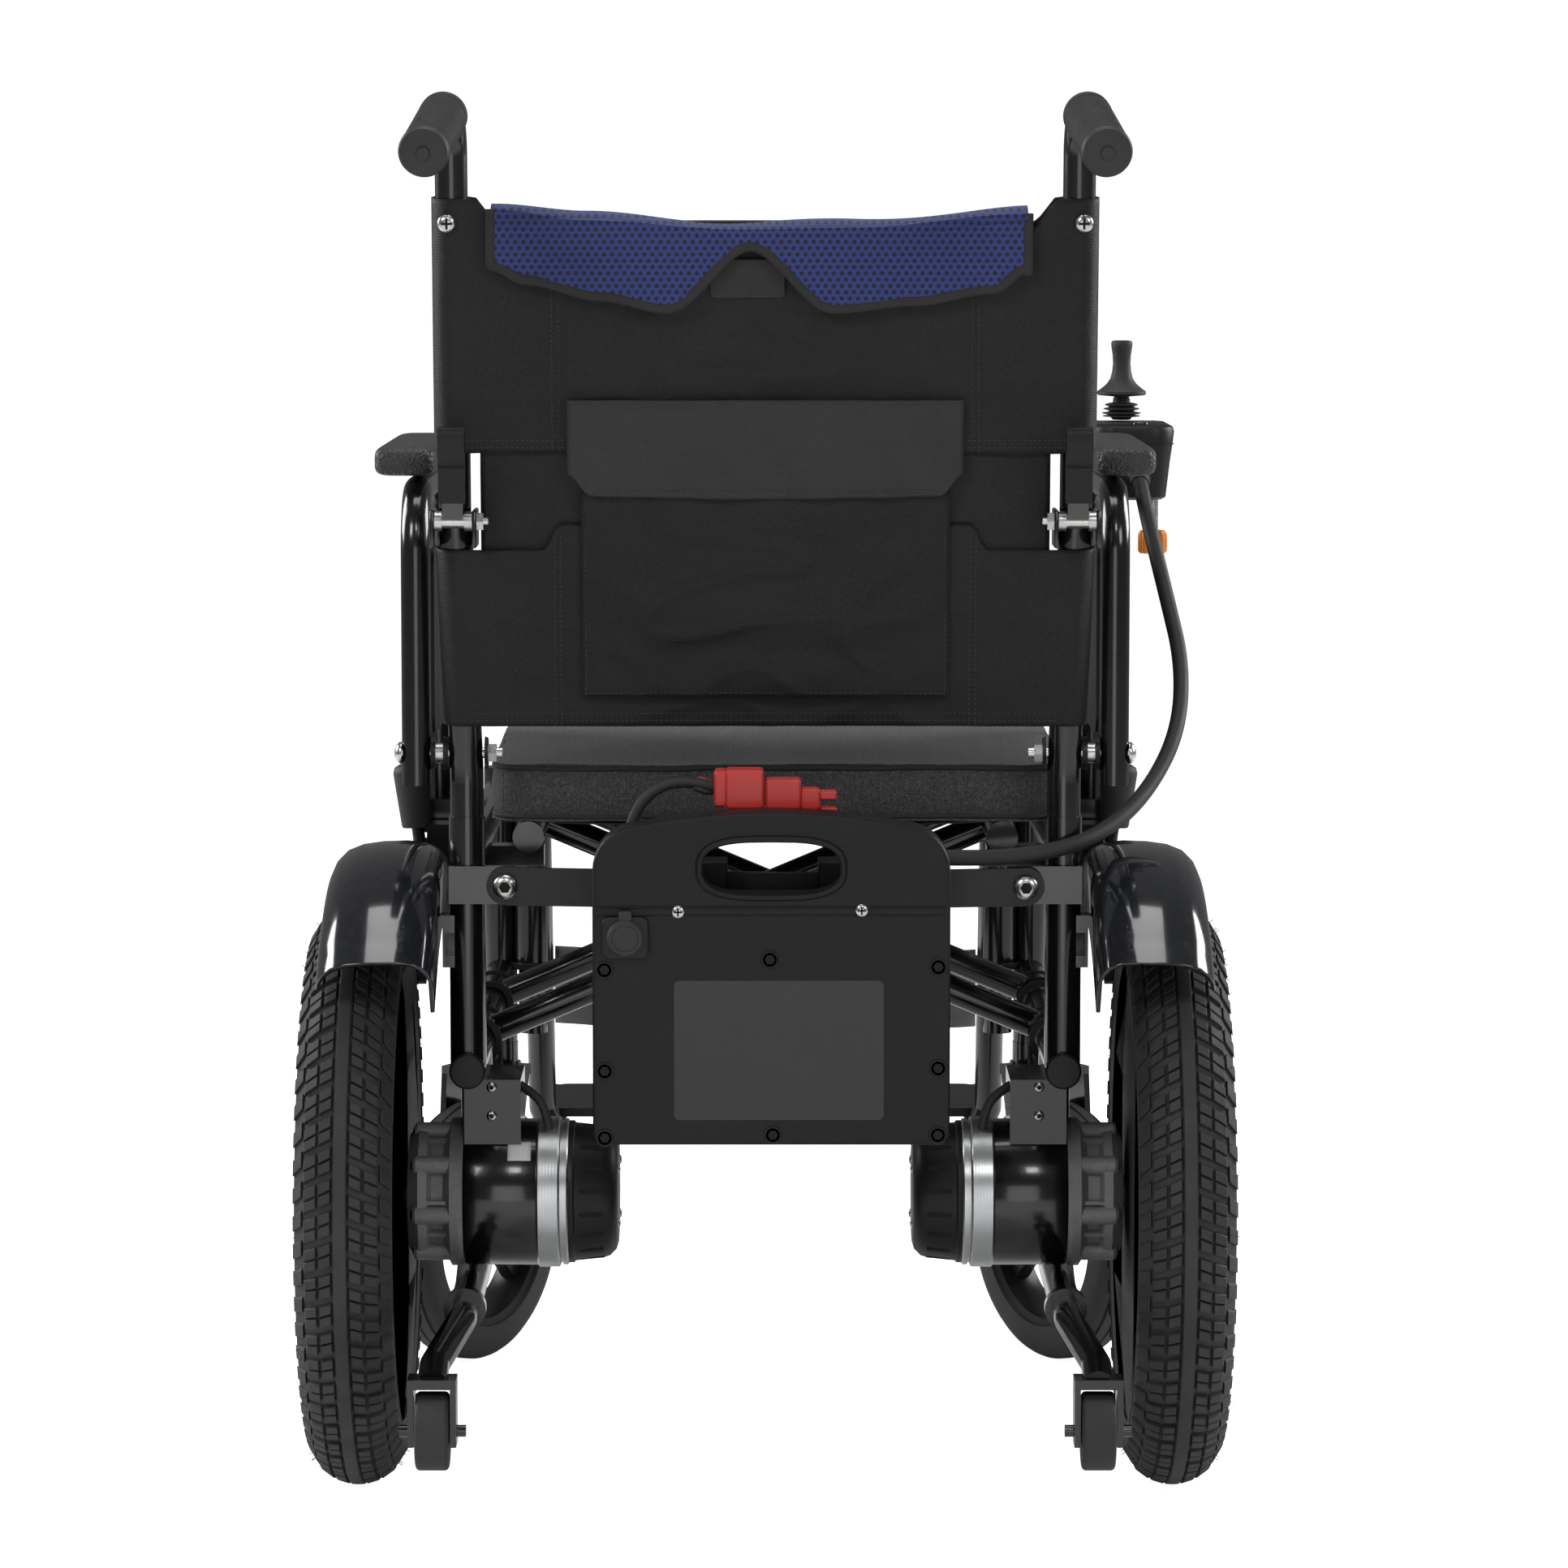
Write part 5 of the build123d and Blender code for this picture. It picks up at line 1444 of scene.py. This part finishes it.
def frameBolts(s, side):
    body, out = side + "_frame", (s, 0, 0)
    # plug in the foot of the lower rail, and bolts beside it
    plug = [(0, 11.5), (0.6, 12.4), (2.4, 12.4), (3.8, 11), (4.2, 7), (4.2, 0.1)]
    extra = [lathe("plug", (s * 205, axle - 45.5, 295), (0, -1, 0), plug, "plastic", body, 40)]
    for z in (262, 282):
        extra.append(screw("s", (s * 189, axle - 34.5, z), (0, -1, 0), 3.6, body, "socket"))
    for y in (axle + 60, axle + 350):
        extra.append(screw("h", (s * 217.6, y, 295), out, 6.0, body, "hex", "zinc", 4.5))
    extra.append(screw("h", (s * 246.2, axle + 196, 424), out, 5.5, body, "hex", "zinc", 4))
    for z in (372, 430):
        extra.append(screw("h", (s * 165.8, axle + 432, z), (-s, 0, 0), 5.2, body, "hex", "zinc", 4))
    for z, r in ((448, 12.4), (300, 16)):
        collar = [(0, r - 0.5), (0.5, r + 2), (5, r + 2), (5.5, r - 0.5)]
        extra.append(lathe("collar", (s * 180, axle + 432, z), (0, 0, 1), collar, "plastic", body, 36, 30,
                           loop=True))
    join("frame_bolts_" + side, extra)
    bar = "crossbar_" + side
    screw("crossbar_bolt_" + side, (s * 178, extent(bar)[0].y - 0.2, 424), (0, -1, 0), 8.4, bar, "socket",
          "zinc", 4.4)
    screw("sling_screw_" + side, backSpot(s * 213.5, -14.6, 203), (0, -math.cos(lean), -math.sin(lean)), 6.2,
          "back_" + side)
    boot = [(0, 13), (0.5, 17.2), (4, 17.2), (4.5, 13)]
    join("brace_boots_" + side, [
        lathe("boot", (s * 205, axle + y, 295), (0, 1, 0), boot, "plastic", body, 36, 30, loop=True)
        for y in (92, 272, 150, 330)])


# grips, pads and the hand controls
def gripPiece(s, side):
    droop = math.radians(7)
    out = 150
    tip = backSpot(s * 220, -out, 282 - out * math.tan(droop))
    base = backSpot(s * 211, 0, 282)
    along = (tip - base).normalized()
    start = tip + along * 3 - along * 116
    profile = [(0, 11.2), (0, 15.2), (1, 16.2), (9, 16.4), (10, 15.2), (11, 15.2)]
    for k in range(19):
        z = 12 + k * 4.9
        profile += [(z, 15.2), (z + 0.8, 16.2), (z + 3.3, 16.2), (z + 4.1, 15.2)]
    profile += [(107, 15.4), (108, 16.6), (113, 16.6), (115, 15.6), (116, 13.5), (116.2, 4.6), (117.6, 4.2),
                (118, 2.4), (118, 0.1)]
    grip = lathe("grip_detail_" + side, start, along, profile, "rubber", "back_" + side, 56, 30)
    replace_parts(grip, "push_grip_" + side)


def padPiece(s, side):
    low, high = extent("armrest_pad_" + side)
    middle, half = (low + high) / 2, (high - low) / 2
    grid = []
    rows = 60
    for row in range(rows + 1):
        v = -1 + 2 * row / rows
        ends = max(0.0, 1 - abs(v) ** 12) ** 0.33
        ring = []
        for k in range(40):
            a = math.tau * k / 40
            u = math.copysign(abs(math.cos(a)) ** 0.42, math.cos(a)) * half.x * (0.72 + 0.28 * ends)
            w = math.copysign(abs(math.sin(a)) ** 0.5, math.sin(a)) * half.z * (0.62 + 0.38 * ends)
            ring.append((middle.x + u, middle.y + v * half.y, middle.z + w * (1 if w > 0 else 0.98)))
        grid.append(ring)
    points, faces = bands(grid)
    pad = piece("armrest_cushion_" + side, meshOf("pad", points, faces), "pad", "armrest_" + side, 60)
    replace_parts(pad, "armrest_pad_" + side)


stick = (264.0, axle + 295, 731.0)


def controlHousing():
    body = "armrest_right"
    cx, cy = 270.0, axle + 296
    sections = []
    for z, w, d, r in ((672, 44, 80, 14), (674, 50, 88, 16), (700, 56, 95, 18), (714, 60, 100, 19),
                       (722, 62, 102, 20), (725.5, 60, 100, 19), (727, 55, 95, 17)):
        sections.append([(x, y, z) for x, y in roundRect(cx, cy - (727 - z) * 0.07, w, d, r, 8)])
    points, faces = bands(sections)
    parts = [piece("shell", meshOf("shell", points, faces), "plastic", body, 35)]
    seam = [Vector((x, y, 713)) * mm for x, y in roundRect(cx, cy - 1, 60.4, 100.4, 19, 8)]
    parts.append(swept("seam", seam + seam[:1], 0.5, "void", body, 6))
    parts.append(block("foot", (249.8, axle + 224, 678), (256, axle + 264, 690), "plastic", body, 1.5))
    gland = [(0, 8.5), (3, 8.5), (4, 7.2), (12, 6.4), (12, 5.6)]
    parts.append(lathe("gland", (274, axle + 244.5, 688), (0, -1, -0.25), gland, "rubber", body, 32, 30))
    parts.append(lathe("stud", (287, axle + 284, 646), (0, 0, 1), [(0, 4), (28, 4)], "zinc", body, 24, 30))
    parts.append(lobedKnob((287, axle + 284), body))
    collar = [(0, 15.5), (0, 20), (1, 19.4), (1, 15.5)]
    parts.append(lathe("collar", (stick[0], stick[1], 726.8), (0, 0, 1), collar, "rubber", body, 48, 30,
                       loop=True))
    for x in (250, 290):
        parts.append(lathe("lamp", (x, axle + 330, 726.8), (0, 0, 1), [(0, 3), (0.6, 2.6), (0.6, 0.1)],
                           "slate",
                           body, 20))
    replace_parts(join("controller_shell", parts), "controller_housing")


def lobedKnob(at, body):
    # the orange hand screw under the box, with eight lobes
    knob = []
    for z, scale in ((631, 0.86), (633, 1.0), (645, 1.0), (648, 0.84)):
        ring = []
        for k in range(64):
            a = math.tau * k / 64
            r = (9.6 + 1.3 * math.cos(8 * a)) * scale
            ring.append((at[0] + r * math.cos(a), at[1] + r * math.sin(a), z))
        knob.append(ring)
    points, faces = bands(knob)
    return piece("knob", meshOf("knob", points, faces), "orange", body, 40)


def joystickPieces():
    bellows = [(-1.6, 6.5), (0.3, 8), (0.8, 13.6), (1.6, 13.6)]
    for z, r in ((2, 14.2), (5.2, 13.2), (8.2, 12.2)):
        bellows += [(z, 9.5), (z + 1.0, r), (z + 1.7, r), (z + 2.6, 9.2)]
    bellows += [(11.2, 6.5), (14.5, 6.2), (14.5, 0.1)]
    boot = lathe("stick_bellows", stick, (0, 0, 1), bellows, "rubber", "joystick_boot", 64, 30)
    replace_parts(boot, "joystick_boot")
    profile = [(13.4, 5.4), (15.5, 5.6), (16.6, 17.2), (17.6, 18.2), (19.4, 18.0), (22, 14.5), (25, 11),
               (29, 8.4),
               (34, 7.1), (40, 6.5), (46, 6.8), (52, 7.7), (55, 8.0), (56.6, 7.2), (57, 5.5), (56.4, 0.1)]
    handle = lathe("stick_handle", stick, (0, 0, 1), profile, "rubber", "joystick", 64, 40)
    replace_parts(handle, "joystick")


def brakePiece(s, side):
    # tapered hand grip over the lever's top
    y, z = axle + 186, 440
    lathe("brake_grip_" + side, (s * 254, y, z - 2), (s * 0.07, 0, 1),
          [(0, 7), (0, 9.8), (2, 10.4), (34, 13.2), (40, 13.6), (44, 12.4), (46, 9), (46.5, 0.1)], "rubber",
          "brake_lever_" + side, 40, 50)


for s, side in ((-1, "left"), (1, "right")):
    motorPieces(s, side)
    fenderPiece(s, side)
    fixings(s, side)
    frameBolts(s, side)
    gripPiece(s, side)
    padPiece(s, side)
    brakePiece(s, side)
controlHousing()
joystickPieces()
print("fittings")
